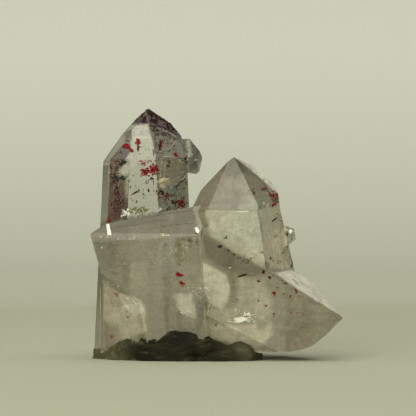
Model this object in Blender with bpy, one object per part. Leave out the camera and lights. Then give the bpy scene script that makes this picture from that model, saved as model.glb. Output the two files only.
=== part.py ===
"""A cluster of pale smoky quartz points grown together, standing on its lump of grey-green matrix rock.

The frame is in metres with +Z up. The origin lies on the flat foot of the rock, in the middle of the object's
box. The side that is shown looks towards -Y. Sizes in the tables below are millimetres and degrees.
"""

import math
from dataclasses import dataclass

import bmesh
import bpy
from mathutils import Matrix, Vector, noise

MM = 0.001

# Angles that every quartz crystal shares.
SIX = 6
SIDE_STEP = 60.0
END_FACE_LIFT = 38.2  # how far an end face's outward direction rises above the prism's

# The block that each crystal is cut from, and the play between crystals and rock.
ROUGH_BLOCK = 160.0
GAP = 0.3
CRYSTAL_FOOT = 1.6  # height at which the first crystal ends inside the rock
FOOT_STEP = 0.05  # each further crystal ends this much higher
SEAT = 0.5  # height in the tables at which the specimen is cut flat; it ends at zero
BOX_MIDDLE = (-0.17, 2.25)  # middle of the finished object's box in the tables, which ends at zero

# The matrix rock.
ROCK_MIDDLE = (-6.5, -1.5)
ROCK_SIDE_WALL = 2.5
ROCK_AROUND = 120
ROCK_RINGS = 44
ROCK_WAVER = 0.6  # how far the foot's outline strays in and out
ROCK_WAVER_LUMPS = 3.0
ROCK_FLARE = 1.6  # above 1, the rings crowd towards the middle
ROCK_ROLL_IN = 2.2  # how soon the rim reaches the top
FOLD_HEIGHT = 1.2
FOLD_PITCH = (0.16, 0.3, 3.0)  # lumps per millimetre along x and y, and where in the noise they start
LUMP_HEIGHT = 0.35
LUMP_PITCH = (0.35, 9.0)
LUMP_ROUGHNESS = (1.0, 2.0, 3)
ROCK_OUTLINE = (
    # bearing from the middle, reach of the foot
    (0, 14.2),
    (28, 14.0),
    (60, 12.6),
    (95, 12.6),
    (130, 14.6),
    (160, 16.6),
    (175, 16.4),
    (195, 13.6),
    (225, 10.6),
    (262, 9.4),
    (290, 10.0),
    (312, 12.6),
    (328, 15.2),
    (342, 15.4),
)
ROCK_MOUNDS = (
    # x, y, height above the wall, spread along x, spread along y
    (-15.0, -8.0, 3.5, 4.2, 3.4),
    (-7.2, -9.8, 4.0, 4.4, 2.8),
    (-1.8, -10.0, 2.0, 3.2, 2.6),
    (5.0, -9.6, 1.0, 3.6, 2.8),
    (-20.0, 2.0, 1.2, 3.0, 4.0),
    (-14.5, 8.8, 4.0, 5.0, 2.6),
    (-5.0, 9.0, 3.6, 4.6, 2.6),
    (4.0, 7.6, 2.6, 3.6, 3.4),
)


@dataclass(frozen=True)
class Face:
    """One flat face: the way it looks, and a point that it passes through."""

    bearing: float  # on plan, 0 to +X, 90 to +Y and 270 to the side shown
    lift: float  # above the horizontal
    through: tuple

    def plane(self):
        bearing = math.radians(self.bearing)
        lift = math.radians(self.lift)
        normal = Vector((
            math.cos(lift) * math.cos(bearing),
            math.cos(lift) * math.sin(bearing),
            math.sin(lift),
        ))
        return Vector(self.through), normal


@dataclass(frozen=True)
class Prism:
    """A six-sided quartz point, given by its tip, its lean and how far each of its faces stands from the axis."""

    tip: tuple
    lean: float  # away from upright
    lean_towards: float  # bearing
    first_side: float  # bearing of the first prism face, before the lean
    sides: tuple  # distance of each prism face from the axis, at the shoulder
    proud: tuple  # how far each end face stands beyond the tip
    tapers: tuple  # how much each prism face closes in towards the tip
    length: float
    cuts: tuple = ()

    def planes(self):
        towards = math.radians(self.lean_towards)
        across = Vector((-math.sin(towards), math.cos(towards), 0.0))
        turn = Matrix.Rotation(math.radians(self.lean), 3, across)
        tip = Vector(self.tip)
        lift = math.radians(END_FACE_LIFT)
        found = []
        for k in range(SIX):
            bearing = math.radians(self.first_side + k * SIDE_STEP)
            out = Vector((math.cos(bearing), math.sin(bearing), 0.0))
            up = Vector((0.0, 0.0, 1.0))
            shoulder = tip + turn @ (out * self.sides[k] - up * self.sides[k] / math.tan(lift))
            taper = math.radians(self.tapers[k])
            found.append((shoulder, turn @ (out * math.cos(taper) + up * math.sin(taper))))
            end = out * math.cos(lift) + up * math.sin(lift)
            found.append((tip + turn @ (end * self.proud[k]), turn @ end))
        butt = turn @ Vector((0.0, 0.0, -1.0))
        found.append((tip + butt * self.length, butt))
        return found + [cut.plane() for cut in self.cuts]


@dataclass(frozen=True)
class Block:
    """A crystal that shows only some of its faces, given face by face."""

    middle: tuple
    faces: tuple

    def planes(self):
        return [face.plane() for face in self.faces]


CRYSTALS = {
    "tall_point": Prism(
        tip=(-12.35, 3.4, 45.95),
        lean=0.5,
        lean_towards=0.0,
        first_side=255.0,
        sides=(8.0, 7.05, 5.95, 6.2, 6.4, 8.5),
        proud=(0.5, 0.0, 1.6, 0.0, 0.4, 0.2),
        tapers=(0.5, 5.0, 2.2, 2.0, 3.0, 1.8),
        length=48.0,
        cuts=(
            Face(165, 2.4, (-20.6, 1.6, 37.0)),
            Face(165, 36.0, (-20.2, 1.6, 38.6)),
        ),
    ),
    "tall_point_second_tip": Prism(
        tip=(-13.5, 4.2, 45.3),
        lean=0.5,
        lean_towards=0.0,
        first_side=255.0,
        sides=(7.2, 5.0, 5.0, 5.0, 4.2, 7.1),
        proud=(1.0, 0.0, 0.5, 0.0, 0.8, 0.0),
        tapers=(2.0, 4.0, 2.6, 2.0, 3.0, 1.8),
        length=46.0,
    ),
    "side_point": Prism(
        tip=(3.2, 0.1, 37.1),
        lean=1.2,
        lean_towards=0.0,
        first_side=274.0,
        sides=(7.5, 6.9, 8.3, 7.0, 4.9, 8.9),
        proud=(0.0, 0.0, 3.4, 0.0, 0.0, 0.5),
        tapers=(11.0, 12.5, 13.0, 5.0, 4.0, 11.0),
        length=24.0,
        cuts=(Face(153, -56.7, (-0.3, -9.3, 20.6)),),
    ),
    "side_point_back": Prism(
        tip=(4.0, 7.5, 36.95),
        lean=5.0,
        lean_towards=180.0,
        first_side=250.0,
        sides=(4.0, 5.6, 6.4, 5.0, 5.0, 6.0),
        proud=(0.0, 0.0, 1.2, 0.0, 1.0, 0.0),
        tapers=(4.0, 4.0, 3.0, 3.0, 6.0, 8.0),
        length=26.0,
    ),
    "front_block": Block(
        middle=(-14.0, -4.0, 17.0),
        faces=(
            Face(267, 1, (-21.4, -8.6, 23.0)),
            Face(264, 41, (-20.2, -6.0, 24.9)),
            Face(250, 58, (-22.7, -7.6, 23.3)),
            Face(111, 57.0, (-20.2, -6.0, 24.95)),
            Face(156, 49.0, (-22.7, -7.6, 23.3)),
            Face(181, -16, (-22.7, -7.6, 23.3)),
            Face(238, -32, (-20.7, -8.9, 16.4)),
            Face(335, 3, (-2.5, -8.8, 20.0)),
            Face(80, 0, (-12.0, 6.0, 15.0)),
        ),
    ),
    "front_block_foot": Block(
        middle=(-9.0, -4.0, 8.0),
        faces=(
            Face(267, 1, (-21.4, -8.57, 23.0)),
            Face(232, -6, (-14.0, -9.2, 11.8)),
            Face(335, 3, (-2.7, -8.8, 20.0)),
            Face(240, 45, (-14.6, -9.2, 14.5)),
            Face(80, 40, (-9.0, 2.0, 16.0)),
            Face(86, 2, (-12.0, 5.0, 15.0)),
            Face(185, 0, (-20.4, -3.0, 8.0)),
        ),
    ),
    "low_point": Block(
        middle=(6.0, -3.0, 12.0),
        faces=(
            Face(266.5, -1, (-3.0, -9.2, 22.8)),
            Face(333, 56.7, (-0.3, -9.3, 21.8)),
            Face(27, -3, (17.0, 1.2, 14.9)),
            Face(355, -45, (22.5, -10.2, 8.2)),
            Face(350, -55, (19.9, -9.0, 5.5)),
            Face(345, -74, (16.3, -9.0, 3.0)),
            Face(300, -88, (8.1, -7.0, 2.0)),
            Face(250, -30, (4.5, -9.7, 6.0)),
            Face(95, -5, (8.0, 8.0, 10.0)),
            Face(30, 58, (16.9, 1.2, 14.6)),
            Face(180, 32, (-3.0, -9.0, 22.7)),
        ),
    ),
    "shoulder_bud": Block(
        middle=(-4.6, 3.0, 37.4),
        faces=(
            Face(100, 86, (-4.84, 3.0, 40.45)),
            Face(5, 38, (-4.84, 2.0, 40.42)),
            Face(350, -14, (-2.95, 3.0, 37.9)),
            Face(330, -52, (-3.5, 3.0, 35.8)),
            Face(180, -80, (-4.66, 3.0, 34.2)),
            Face(262, 18, (-4.0, 1.8, 38.0)),
            Face(80, 10, (-4.0, 6.4, 38.0)),
            Face(180, 0, (-8.0, 3.0, 38.0)),
        ),
    ),
    "face_bud": Block(
        middle=(-7.9, -2.6, 34.4),
        faces=(
            Face(315, 3, (-7.9, -3.9, 34.0)),
            Face(315, 66, (-8.2, -3.9, 36.1)),
            Face(15, 5, (-5.6, -1.0, 35.0)),
            Face(240, 12, (-10.3, -4.6, 34.0)),
            Face(345, -42, (-6.4, -3.2, 33.0)),
            Face(268, -62, (-8.8, -4.4, 32.1)),
            Face(135, 0, (-8.0, 1.0, 34.0)),
        ),
    ),
    "side_bud": Block(
        middle=(13.2, -1.0, 22.8),
        faces=(
            Face(60, 60, (13.4, -1.0, 24.1)),
            Face(355, 10, (14.2, -1.0, 23.0)),
            Face(350, -50, (13.9, -1.0, 21.9)),
            Face(275, 10, (13.2, -1.5, 23.0)),
            Face(95, 5, (13.2, 0.6, 23.0)),
            Face(200, 0, (12.2, -1.0, 23.0)),
        ),
    ),
    "back_point": Prism(
        tip=(-13.5, 12.6, 24.5),
        lean=14.0,
        lean_towards=96.0,
        first_side=78.0,
        sides=(4.4, 4.8, 4.6, 4.2, 5.0, 4.6),
        proud=(0.0, 0.9, 0.0, 0.7, 0.0, 1.1),
        tapers=(2.0, 2.0, 2.0, 2.0, 2.0, 2.0),
        length=30.0,
    ),
    "back_low_point": Prism(
        tip=(4.0, 12.6, 15.5),
        lean=26.0,
        lean_towards=62.0,
        first_side=50.0,
        sides=(4.4, 4.2, 4.6, 4.4, 4.1, 4.5),
        proud=(0.0, 0.6, 0.0, 1.2, 0.0, 0.5),
        tapers=(2.5, 2.5, 2.5, 2.5, 2.5, 2.5),
        length=26.0,
    ),
}


def object_from(name, mesh_data, collection):
    """A named object for a bmesh, still in millimetres."""
    bmesh.ops.recalc_face_normals(mesh_data, faces=mesh_data.faces)
    mesh = bpy.data.meshes.new(name)
    mesh_data.to_mesh(mesh)
    mesh_data.free()
    made = bpy.data.objects.new(name, mesh)
    collection.objects.link(made)
    return made


def cut_flat(block, point, normal):
    """Takes off what lies beyond a plane and closes the cut."""
    geometry = block.verts[:] + block.edges[:] + block.faces[:]
    cut = bmesh.ops.bisect_plane(
        block, geom=geometry, dist=1e-5, plane_co=point, plane_no=normal, clear_outer=True
    )
    edges = [item for item in cut["geom_cut"] if isinstance(item, bmesh.types.BMEdge)]
    if edges:
        bmesh.ops.contextual_create(block, geom=edges)


def to_metres(made):
    """Sets a finished object down on the ground and brings it from millimetres to metres."""
    block = bmesh.new()
    block.from_mesh(made.data)
    bmesh.ops.translate(
        block, vec=Vector((-BOX_MIDDLE[0], -BOX_MIDDLE[1], -SEAT)), verts=block.verts
    )
    bmesh.ops.scale(block, vec=Vector((MM, MM, MM)), verts=block.verts)
    block.to_mesh(made.data)
    block.free()


def crystal(name, shape, collection, foot, swell=0.0):
    """One crystal, cut plane by plane from a rough block; swell moves every face outwards."""
    block = bmesh.new()
    middle = Vector(shape.middle if isinstance(shape, Block) else shape.tip)
    bmesh.ops.create_cube(block, size=ROUGH_BLOCK, matrix=Matrix.Translation(middle))
    for point, normal in shape.planes():
        cut_flat(block, point + normal * swell, normal)
    cut_flat(block, Vector((0.0, 0.0, foot - swell)), Vector((0.0, 0.0, -1.0)))
    bmesh.ops.triangulate(block, faces=block.faces)
    return object_from(name, block, collection)


def join(target, others, operation):
    """Applies one Boolean to target for each of the others, and removes them."""
    for other in others:
        modifier = target.modifiers.new(operation.lower(), "BOOLEAN")
        modifier.operation = operation
        modifier.object = other
        bpy.context.view_layer.update()
        graph = bpy.context.evaluated_depsgraph_get()
        result = bpy.data.meshes.new_from_object(target.evaluated_get(graph))
        target.modifiers.clear()
        target.data = result
        bpy.data.objects.remove(other)


def grown_together(name, collection, swell=0.0):
    """All the crystals as one solid."""
    made = [
        crystal(f"{name}_{key}", shape, collection, CRYSTAL_FOOT + k * FOOT_STEP, swell)
        for k, (key, shape) in enumerate(CRYSTALS.items())
    ]
    first = made[0]
    join(first, made[1:], "UNION")
    first.name = name
    return first


def outline_reach(bearing):
    """How far the rock's foot reaches at a bearing, smoothly between the listed ones."""
    bearing %= 360.0
    count = len(ROCK_OUTLINE)
    for k in range(count):
        here, reach = ROCK_OUTLINE[k]
        after, reach_after = ROCK_OUTLINE[(k + 1) % count]
        span = (after - here) % 360.0
        along = (bearing - here) % 360.0
        if along <= span:
            share = along / span
            return reach + (reach_after - reach) * share * share * (3.0 - 2.0 * share)
    return ROCK_OUTLINE[0][1]


def rock_top(x, y):
    """Height of the rock's upper surface: mounds, then folds and lumps."""
    height = ROCK_SIDE_WALL
    for mound_x, mound_y, rise, along, across in ROCK_MOUNDS:
        height += rise * math.exp(-(((x - mound_x) / along) ** 2 + ((y - mound_y) / across) ** 2))
    folds = abs(noise.noise(Vector((x * FOLD_PITCH[0], y * FOLD_PITCH[1], FOLD_PITCH[2]))))
    lumps = noise.fractal(Vector((x * LUMP_PITCH[0], y * LUMP_PITCH[0], LUMP_PITCH[1])), *LUMP_ROUGHNESS)
    return height + FOLD_HEIGHT * folds + LUMP_HEIGHT * lumps


def rock(collection):
    """The matrix: a flat-footed lump whose rim rolls in to a folded top."""
    lump = bmesh.new()
    bmesh.ops.create_uvsphere(lump, u_segments=ROCK_AROUND, v_segments=ROCK_RINGS, radius=1.0)
    under = [vertex for vertex in lump.verts if vertex.co.z < -1e-4]
    bmesh.ops.delete(lump, geom=under, context="VERTS")
    rim_edges = [edge for edge in lump.edges if edge.is_boundary]
    bmesh.ops.contextual_create(lump, geom=rim_edges)
    for vertex in lump.verts:
        direction = vertex.co.copy()
        flat = max(math.hypot(direction.x, direction.y), 1e-9)
        along_x = direction.x / flat
        along_y = direction.y / flat
        reach = outline_reach(math.degrees(math.atan2(along_y, along_x)))
        reach += ROCK_WAVER * noise.noise(Vector((along_x, along_y, 0.0)) * ROCK_WAVER_LUMPS)
        share = reach * flat ** ROCK_FLARE
        x = ROCK_MIDDLE[0] + share * along_x
        y = ROCK_MIDDLE[1] + share * along_y
        rim = math.sqrt(min(1.0, max(direction.z, 0.0) * ROCK_ROLL_IN))
        vertex.co = Vector((x, y, SEAT + (rock_top(x, y) - SEAT) * rim))
    return object_from("matrix_rock", lump, collection)


def as_cutter(made):
    """Marks an object that only cuts others."""
    made.hide_render = True
    made.display_type = "WIRE"


def finish(made, name, colour, roughness, transmission=0.0):
    """Gives an object its own plain material."""
    material = bpy.data.materials.new(name)
    material.use_nodes = True
    shader = material.node_tree.nodes["Principled BSDF"]
    shader.inputs["Base Color"].default_value = (*colour, 1.0)
    shader.inputs["Roughness"].default_value = roughness
    shader.inputs["Metallic"].default_value = 0.0
    shader.inputs["Transmission Weight"].default_value = transmission
    made.data.materials.clear()
    made.data.materials.append(material)


def build():
    """Clears the scene and models the specimen."""
    for old in list(bpy.data.objects):
        bpy.data.objects.remove(old)
    parts = bpy.data.collections.new("smoky_quartz_on_matrix")
    cutters = bpy.data.collections.new("cutters")
    bpy.context.scene.collection.children.link(parts)
    bpy.context.scene.collection.children.link(cutters)
    quartz = grown_together("quartz_crystals", parts)
    socket = grown_together("socket", cutters, swell=GAP)
    as_cutter(socket)
    matrix = rock(parts)
    join(matrix, [socket], "DIFFERENCE")
    to_metres(quartz)
    to_metres(matrix)
    finish(quartz, "pale_smoky_quartz", (0.78, 0.75, 0.70), 0.08, 0.9)
    finish(matrix, "grey_green_rock", (0.075, 0.07, 0.045), 0.75)


build()
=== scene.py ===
"""The looks of a smoky quartz cluster on its matrix rock: crystals, mist, mineral flecks, rock and light.

Lengths are written in millimetres and turned into metres where Blender needs them. The view from the front is
described by the picture's own pixels: View turns a pixel into a line of sight. Each fleck that is placed by a
pixel is laid on the face of the crystal that this line meets.
"""

import logging
import math
import random
from dataclasses import dataclass, field
from enum import Enum
from typing import Any, Iterable, Optional, Sequence, Union

import bmesh
import bpy
import numpy as np
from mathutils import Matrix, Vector, noise
from mathutils.bvhtree import BVHTree


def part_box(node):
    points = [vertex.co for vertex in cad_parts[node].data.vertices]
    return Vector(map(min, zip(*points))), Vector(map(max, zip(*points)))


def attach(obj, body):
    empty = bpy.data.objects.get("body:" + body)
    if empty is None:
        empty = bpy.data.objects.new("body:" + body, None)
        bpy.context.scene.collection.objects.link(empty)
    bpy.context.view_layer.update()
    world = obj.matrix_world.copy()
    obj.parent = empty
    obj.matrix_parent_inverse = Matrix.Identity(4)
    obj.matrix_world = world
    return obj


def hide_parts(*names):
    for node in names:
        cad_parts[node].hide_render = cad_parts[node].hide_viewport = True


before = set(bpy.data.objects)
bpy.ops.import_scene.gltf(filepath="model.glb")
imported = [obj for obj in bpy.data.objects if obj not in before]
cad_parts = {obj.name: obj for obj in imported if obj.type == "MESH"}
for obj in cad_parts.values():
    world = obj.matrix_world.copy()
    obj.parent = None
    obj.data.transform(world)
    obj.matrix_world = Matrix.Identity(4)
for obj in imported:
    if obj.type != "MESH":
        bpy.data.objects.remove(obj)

LOG = logging.getLogger("quartz_cluster")
MM = 0.001
BODY = "root"
CRYSTALS_NODE = "quartz_crystals"
ROCK_NODE = "matrix_rock"

Colour = tuple[float, float, float]
Value = Union[float, "Socket"]
CLEAR: Colour = (1.0, 1.0, 1.0)


def from_screen(red: int, green: int, blue: int) -> Colour:
    """Turns a colour as seen on a screen into the light values that shaders take.

    Args:
        red: level of red, 0 to 255.
        green: level of green.
        blue: level of blue.

    Returns:
        The three linear values.
    """

    def linear(level: float) -> float:
        """One channel, by the sRGB curve."""
        share = level / 255.0
        return share / 12.92 if share <= 0.04045 else ((share + 0.055) / 1.055) ** 2.4

    return linear(red), linear(green), linear(blue)


@dataclass(frozen=True)
class View:
    """The camera of the picture and the way its pixels lie in space, in millimetres.

    Attributes:
        stand: where the camera stands.
        frame_width: width of the picture at the object's plane.
        reach: distance from the camera to that plane.
        pixels: width and height of the picture in pixels.
        sensor: width of the camera's sensor.
    """

    stand: tuple[float, float, float] = (-1.38, -502.25, 27.3)
    frame_width: float = 75.64
    reach: float = 500.0
    pixels: int = 416
    sensor: float = 36.0

    @property
    def lens(self) -> float:
        """Focal length that gives the picture its field of view."""
        return self.sensor * self.reach / self.frame_width

    def towards(self, across: float, down: float) -> Vector:
        """The direction in which the camera sees a pixel.

        Args:
            across: pixels from the picture's left edge.
            down: pixels from its top edge.

        Returns:
            A unit vector in the frame of the object.
        """
        half = self.pixels / 2.0
        step = self.frame_width / self.pixels
        return Vector(((across - half) * step, self.reach, (half - down) * step)).normalized()

    def pixels_of(self, points: np.ndarray) -> np.ndarray:
        """Finds where points show in the picture.

        Args:
            points: their places in millimetres, one a row.

        Returns:
            Their pixels from the left and from the top, one point a row.
        """
        away = points - np.array(self.stand)
        scale = self.pixels / self.frame_width * self.reach / away[:, 1]
        half = self.pixels / 2.0
        return np.stack((half + away[:, 0] * scale, half - away[:, 2] * scale), axis=1)


VIEW = View()


class Socket:
    """A shader value with Python's operators: each one adds the Math node that works it out."""

    def __init__(self, tree: "Shader", link: bpy.types.NodeSocket) -> None:
        """Wraps one output socket of a material's tree."""
        self.tree = tree
        self.link = link

    def _with(self, operation: str, other: Value, swap: bool = False) -> "Socket":
        """Adds a Math node that takes this value and another one."""
        values = (other, self) if swap else (self, other)
        return self.tree.maths(operation, *values)

    def __add__(self, other: Value) -> "Socket":
        """Sum."""
        return self._with("ADD", other)

    __radd__ = __add__

    def __mul__(self, other: Value) -> "Socket":
        """Product."""
        return self._with("MULTIPLY", other)

    __rmul__ = __mul__

    def __sub__(self, other: Value) -> "Socket":
        """Difference."""
        return self._with("SUBTRACT", other)

    def __rsub__(self, other: Value) -> "Socket":
        """Difference, the other way round."""
        return self._with("SUBTRACT", other, swap=True)

    def __pow__(self, other: Value) -> "Socket":
        """Power."""
        return self._with("POWER", other)

    def clamp(self) -> "Socket":
        """The value held between 0 and 1."""
        return self.tree.maths("MULTIPLY", self, 1.0, use_clamp=True)

    def most(self, other: Value) -> "Socket":
        """The greater of two values."""
        return self._with("MAXIMUM", other)


class Shader:
    """One material's node tree, written as expressions."""

    def __init__(self, name: str) -> None:
        """Starts an empty material.

        Args:
            name: the material's name.
        """
        self.material = bpy.data.materials.new(name)
        self.material.use_nodes = True
        self.nodes = self.material.node_tree.nodes
        self.links = self.material.node_tree.links
        self.nodes.clear()
        self.output = self.nodes.new("ShaderNodeOutputMaterial")
        self._place: Optional[bpy.types.Node] = None

    def node(self, kind: str, settings: Optional[dict[str, Any]] = None, **values: Any) -> bpy.types.Node:
        """Adds a node.

        Args:
            kind: the node's type.
            settings: what is set on the node itself, first.
            values: a value, Socket or NodeSocket for each input, by its name with _ for a space.

        Returns:
            The node.
        """
        made = self.nodes.new(kind)
        for key, setting in (settings or {}).items():
            setattr(made, key, setting)
        for key, value in values.items():
            self.feed(made.inputs[key.replace("_", " ")], value)
        return made

    def feed(self, socket: bpy.types.NodeSocket, value: Any) -> None:
        """Sets an input socket, or links it.

        Args:
            socket: the input.
            value: what it gets: a Socket, another node's output, a colour or a number.
        """
        if isinstance(value, Socket):
            self.links.new(value.link, socket)
        elif isinstance(value, bpy.types.NodeSocket):
            self.links.new(value, socket)
        elif isinstance(value, (tuple, list)) and socket.type == "RGBA" and len(value) == 3:
            socket.default_value = (*value, 1.0)
        else:
            socket.default_value = value

    def maths(self, operation: str, *values: Value, use_clamp: bool = False) -> Socket:
        """Adds a Math node.

        Args:
            operation: what it does.
            values: its inputs in order.
            use_clamp: whether its result is held between 0 and 1.

        Returns:
            Its result.
        """
        made = self.nodes.new("ShaderNodeMath")
        made.operation = operation
        made.use_clamp = use_clamp
        for socket, value in zip(made.inputs, values):
            self.feed(socket, value)
        return Socket(self, made.outputs[0])

    def place(self, axis: str) -> Socket:
        """One coordinate of the point in the object's frame.

        Args:
            axis: X, Y or Z.

        Returns:
            The coordinate in millimetres.
        """
        if self._place is None:
            where = self.node("ShaderNodeTexCoord").outputs["Object"]
            self._place = self.node("ShaderNodeSeparateXYZ", Vector=where)
        return Socket(self, self._place.outputs[axis]) * (1.0 / MM)

    def point(self, stretch: Sequence[float], turn: Sequence[float]) -> Any:
        """The point in the object's frame in millimetres, for a texture.

        Args:
            stretch: scale along each axis.
            turn: turn about each axis, in degrees.

        Returns:
            The mapped point.
        """
        where = self.node("ShaderNodeTexCoord").outputs["Object"]
        mapped = self.node("ShaderNodeMapping", Vector=where)
        mapped.inputs["Scale"].default_value = tuple(share / MM for share in stretch)
        mapped.inputs["Rotation"].default_value = tuple(math.radians(angle) for angle in turn)
        return mapped.outputs["Vector"]

    def ramp(self, value: Value, low: float, high: float) -> Socket:
        """A smooth step.

        Args:
            value: what is stepped.
            low: where the result is 0. It may be the greater of the two.
            high: where the result is 1.

        Returns:
            The step's value, 0 to 1.
        """
        made = self.node("ShaderNodeMapRange", {"interpolation_type": "SMOOTHSTEP"}, Value=value)
        made.inputs["From Min"].default_value = low
        made.inputs["From Max"].default_value = high
        return Socket(self, made.outputs["Result"])

    def blend(self, share: Value, first: Any, second: Any) -> Any:
        """A colour between two.

        Args:
            share: 0 for the first, 1 for the second.
            first: a colour.
            second: a colour.

        Returns:
            The mixed colour.
        """
        made = self.node("ShaderNodeMix", {"data_type": "RGBA"})
        self.feed(made.inputs[0], share)
        self.feed(made.inputs[6], first)
        self.feed(made.inputs[7], second)
        return made.outputs[2]

    def shade(self, colour: Any, level: Any) -> Any:
        """A product of two colours.

        Args:
            colour: a colour.
            level: a level of grey, or another colour.

        Returns:
            The product.
        """
        made = self.node("ShaderNodeMix", {"data_type": "RGBA", "blend_type": "MULTIPLY"})
        made.inputs[0].default_value = 1.0
        self.feed(made.inputs[6], colour)
        self.feed(made.inputs[7], level)
        return made.outputs[2]

    def layer(self, name: str) -> Socket:
        """A number that the mesh carries at each corner of its faces."""
        made = self.node("ShaderNodeAttribute", {"attribute_name": name})
        return Socket(self, made.outputs["Fac"])

    def tint(self, name: str) -> Any:
        """A colour that the mesh carries at each corner of its faces."""
        return self.node("ShaderNodeAttribute", {"attribute_name": name}).outputs["Color"]

    def bump(self, height: Value, depth: float, strength: float = 1.0) -> Any:
        """A Bump node's normal, with the height's full range depth millimetres deep."""
        made = self.node("ShaderNodeBump", Height=height, Distance=depth * MM, Strength=strength)
        return made.outputs["Normal"]

    def principled(self, **values: Any) -> Any:
        """A Principled BSDF's output, with its inputs by name."""
        return self.node("ShaderNodeBsdfPrincipled", **values).outputs["BSDF"]

    def mix(self, share: Value, first: Any, second: Any) -> Any:
        """A surface between two.

        Args:
            share: 0 for the first, 1 for the second.
            first: a shader's output.
            second: a shader's output.

        Returns:
            The mixed surface.
        """
        made = self.node("ShaderNodeMixShader")
        self.feed(made.inputs[0], share)
        self.feed(made.inputs[1], first)
        self.feed(made.inputs[2], second)
        return made.outputs["Shader"]

    def finish(self, surface: Any, volume: Any = None) -> bpy.types.Material:
        """Links the material's outputs.

        Args:
            surface: the surface.
            volume: what fills the body, if anything does.

        Returns:
            The material.
        """
        self.feed(self.output.inputs["Surface"], surface)
        if volume is not None:
            self.feed(self.output.inputs["Volume"], volume)
        return self.material


@dataclass(frozen=True)
class Texture:
    """One noise texture of a finish.

    Attributes:
        size: width of its lumps in millimetres.
        detail: how many finer levels it has.
        share: how much of it goes into the finish.
        rough: how strong the finer levels are.
        stretch: how it is scaled along each axis.
        turn: how it is turned about each axis, in degrees.
    """

    size: float
    detail: float
    share: float = 1.0
    rough: float = 0.5
    stretch: tuple[float, float, float] = (1.0, 1.0, 1.0)
    turn: tuple[float, float, float] = (0.0, 0.0, 0.0)

    def on(self, s: Shader) -> Socket:
        """Adds the texture to a material.

        Args:
            s: the material.

        Returns:
            Its value, about 0 to 1.
        """
        made = s.node(
            "ShaderNodeTexNoise",
            Vector=s.point(self.stretch, self.turn),
            Scale=1.0 / self.size,
            Detail=self.detail,
            Roughness=self.rough,
        )
        return Socket(s, made.outputs["Fac"])


@dataclass(frozen=True)
class QuartzFinish:
    """Smoky quartz: clear crystal with misty zones.

    Attributes:
        ior: refractive index of quartz.
        smoke: colour of the light that gets through.
        density: absorption per metre.
        blush: what the tone is multiplied by where the mist is rosy.
        relief: depth of the relief in millimetres.
        dull: roughness of the mist.
        base_level: what the tone's level is before the textures.
        clouds: broad patches of the mist.
        wisps: finer patches.
        grain: the finest patches.
        lines: growth lines in the relief.
        fibres: upright streaks.
        scratches: slanting streaks.
        mottle: coarse spots.
        healed: healed cracks, which lie where this texture passes its middle.
        crack: how far from the middle value a crack reaches.
        blushes: where the mist is rosy.
    """

    ior: float = 1.544
    smoke: Colour = (0.86, 0.835, 0.80)
    density: float = 60.0
    blush: Colour = (1.035, 0.98, 0.99)
    relief: float = 0.03
    dull: float = 0.2
    base_level: float = 0.03
    clouds: Texture = Texture(4.0, 4.0, 0.2)
    wisps: Texture = Texture(1.1, 4.0, 0.4)
    grain: Texture = Texture(0.22, 2.0, 0.24)
    lines: Texture = Texture(0.45, 2.0, 0.55, stretch=(0.2, 0.3, 1.0), turn=(0.0, 8.0, 0.0))
    fibres: Texture = Texture(0.7, 3.0, 0.26, stretch=(1.0, 1.0, 0.22))
    scratches: Texture = Texture(0.6, 3.0, 0.26, stretch=(0.2, 0.6, 1.2), turn=(0.0, 38.0, 0.0))
    mottle: Texture = Texture(0.5, 3.0, 0.34, rough=0.7)
    healed: Texture = Texture(2.6, 4.0, 0.2, rough=0.6)
    crack: float = 0.018
    blushes: Texture = Texture(2.2, 3.0)

    def material(self) -> bpy.types.Material:
        """Builds the material, which reads the mist, frost and tone that the mesh carries; on many faces the
        tone holds painted light and shade.

        Returns:
            The material.
        """
        s = Shader("smoky_quartz")
        misty, frosted = s.layer("mist"), s.layer("frost")
        clouds, wisps, grain = (texture.on(s) for texture in (self.clouds, self.wisps, self.grain))
        relief = self.lines.on(s) * self.lines.share + wisps * 0.5 * frosted + grain * 0.3 * frosted
        normal = s.bump(relief, self.relief)
        level = clouds * self.clouds.share + wisps * self.wisps.share + grain * self.grain.share
        for texture in (self.fibres, self.scratches, self.mottle):
            level = level + texture.on(s) * texture.share
        cracks = s.ramp(s.maths("ABSOLUTE", self.healed.on(s) - 0.5), self.crack, 0.0)
        veils = cracks * s.ramp(clouds, 0.4, 0.56)
        level = level + veils * self.healed.share + self.base_level
        rosy = s.ramp(self.blushes.on(s), 0.38, 0.66)
        tone = s.shade(s.tint("tone"), s.blend(rosy, CLEAR, self.blush))
        glass = s.principled(
            Base_Color=CLEAR,
            Roughness=frosted * 0.22 + 0.01,
            IOR=self.ior,
            Transmission_Weight=1.0,
            Normal=normal,
        )
        milk = s.principled(
            Base_Color=s.shade(tone, level), Roughness=self.dull, IOR=self.ior, Normal=normal
        )
        share = (misty * (0.45 + clouds * 0.5 + wisps * 0.35)).clamp()
        smoke = s.node("ShaderNodeVolumeAbsorption", Color=self.smoke, Density=self.density)
        return s.finish(s.mix(share, glass, milk), smoke.outputs["Volume"])


class Shade(Enum):
    """The minerals that the flecks are made of, as colours, and the white of the painted glints."""

    BRIGHT_RED = (130, 12, 5)
    RED = (86, 10, 7)
    DARK_RED = (50, 8, 2)
    PINK = (146, 84, 72)
    BLACK_GREEN = (40, 46, 38)
    OLIVE = (112, 114, 62)
    CREAM = (214, 198, 166)
    PALE = (186, 186, 164)
    # Painted highlight white: the colour of the glint plates.
    WHITE = (236, 236, 222)


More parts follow.
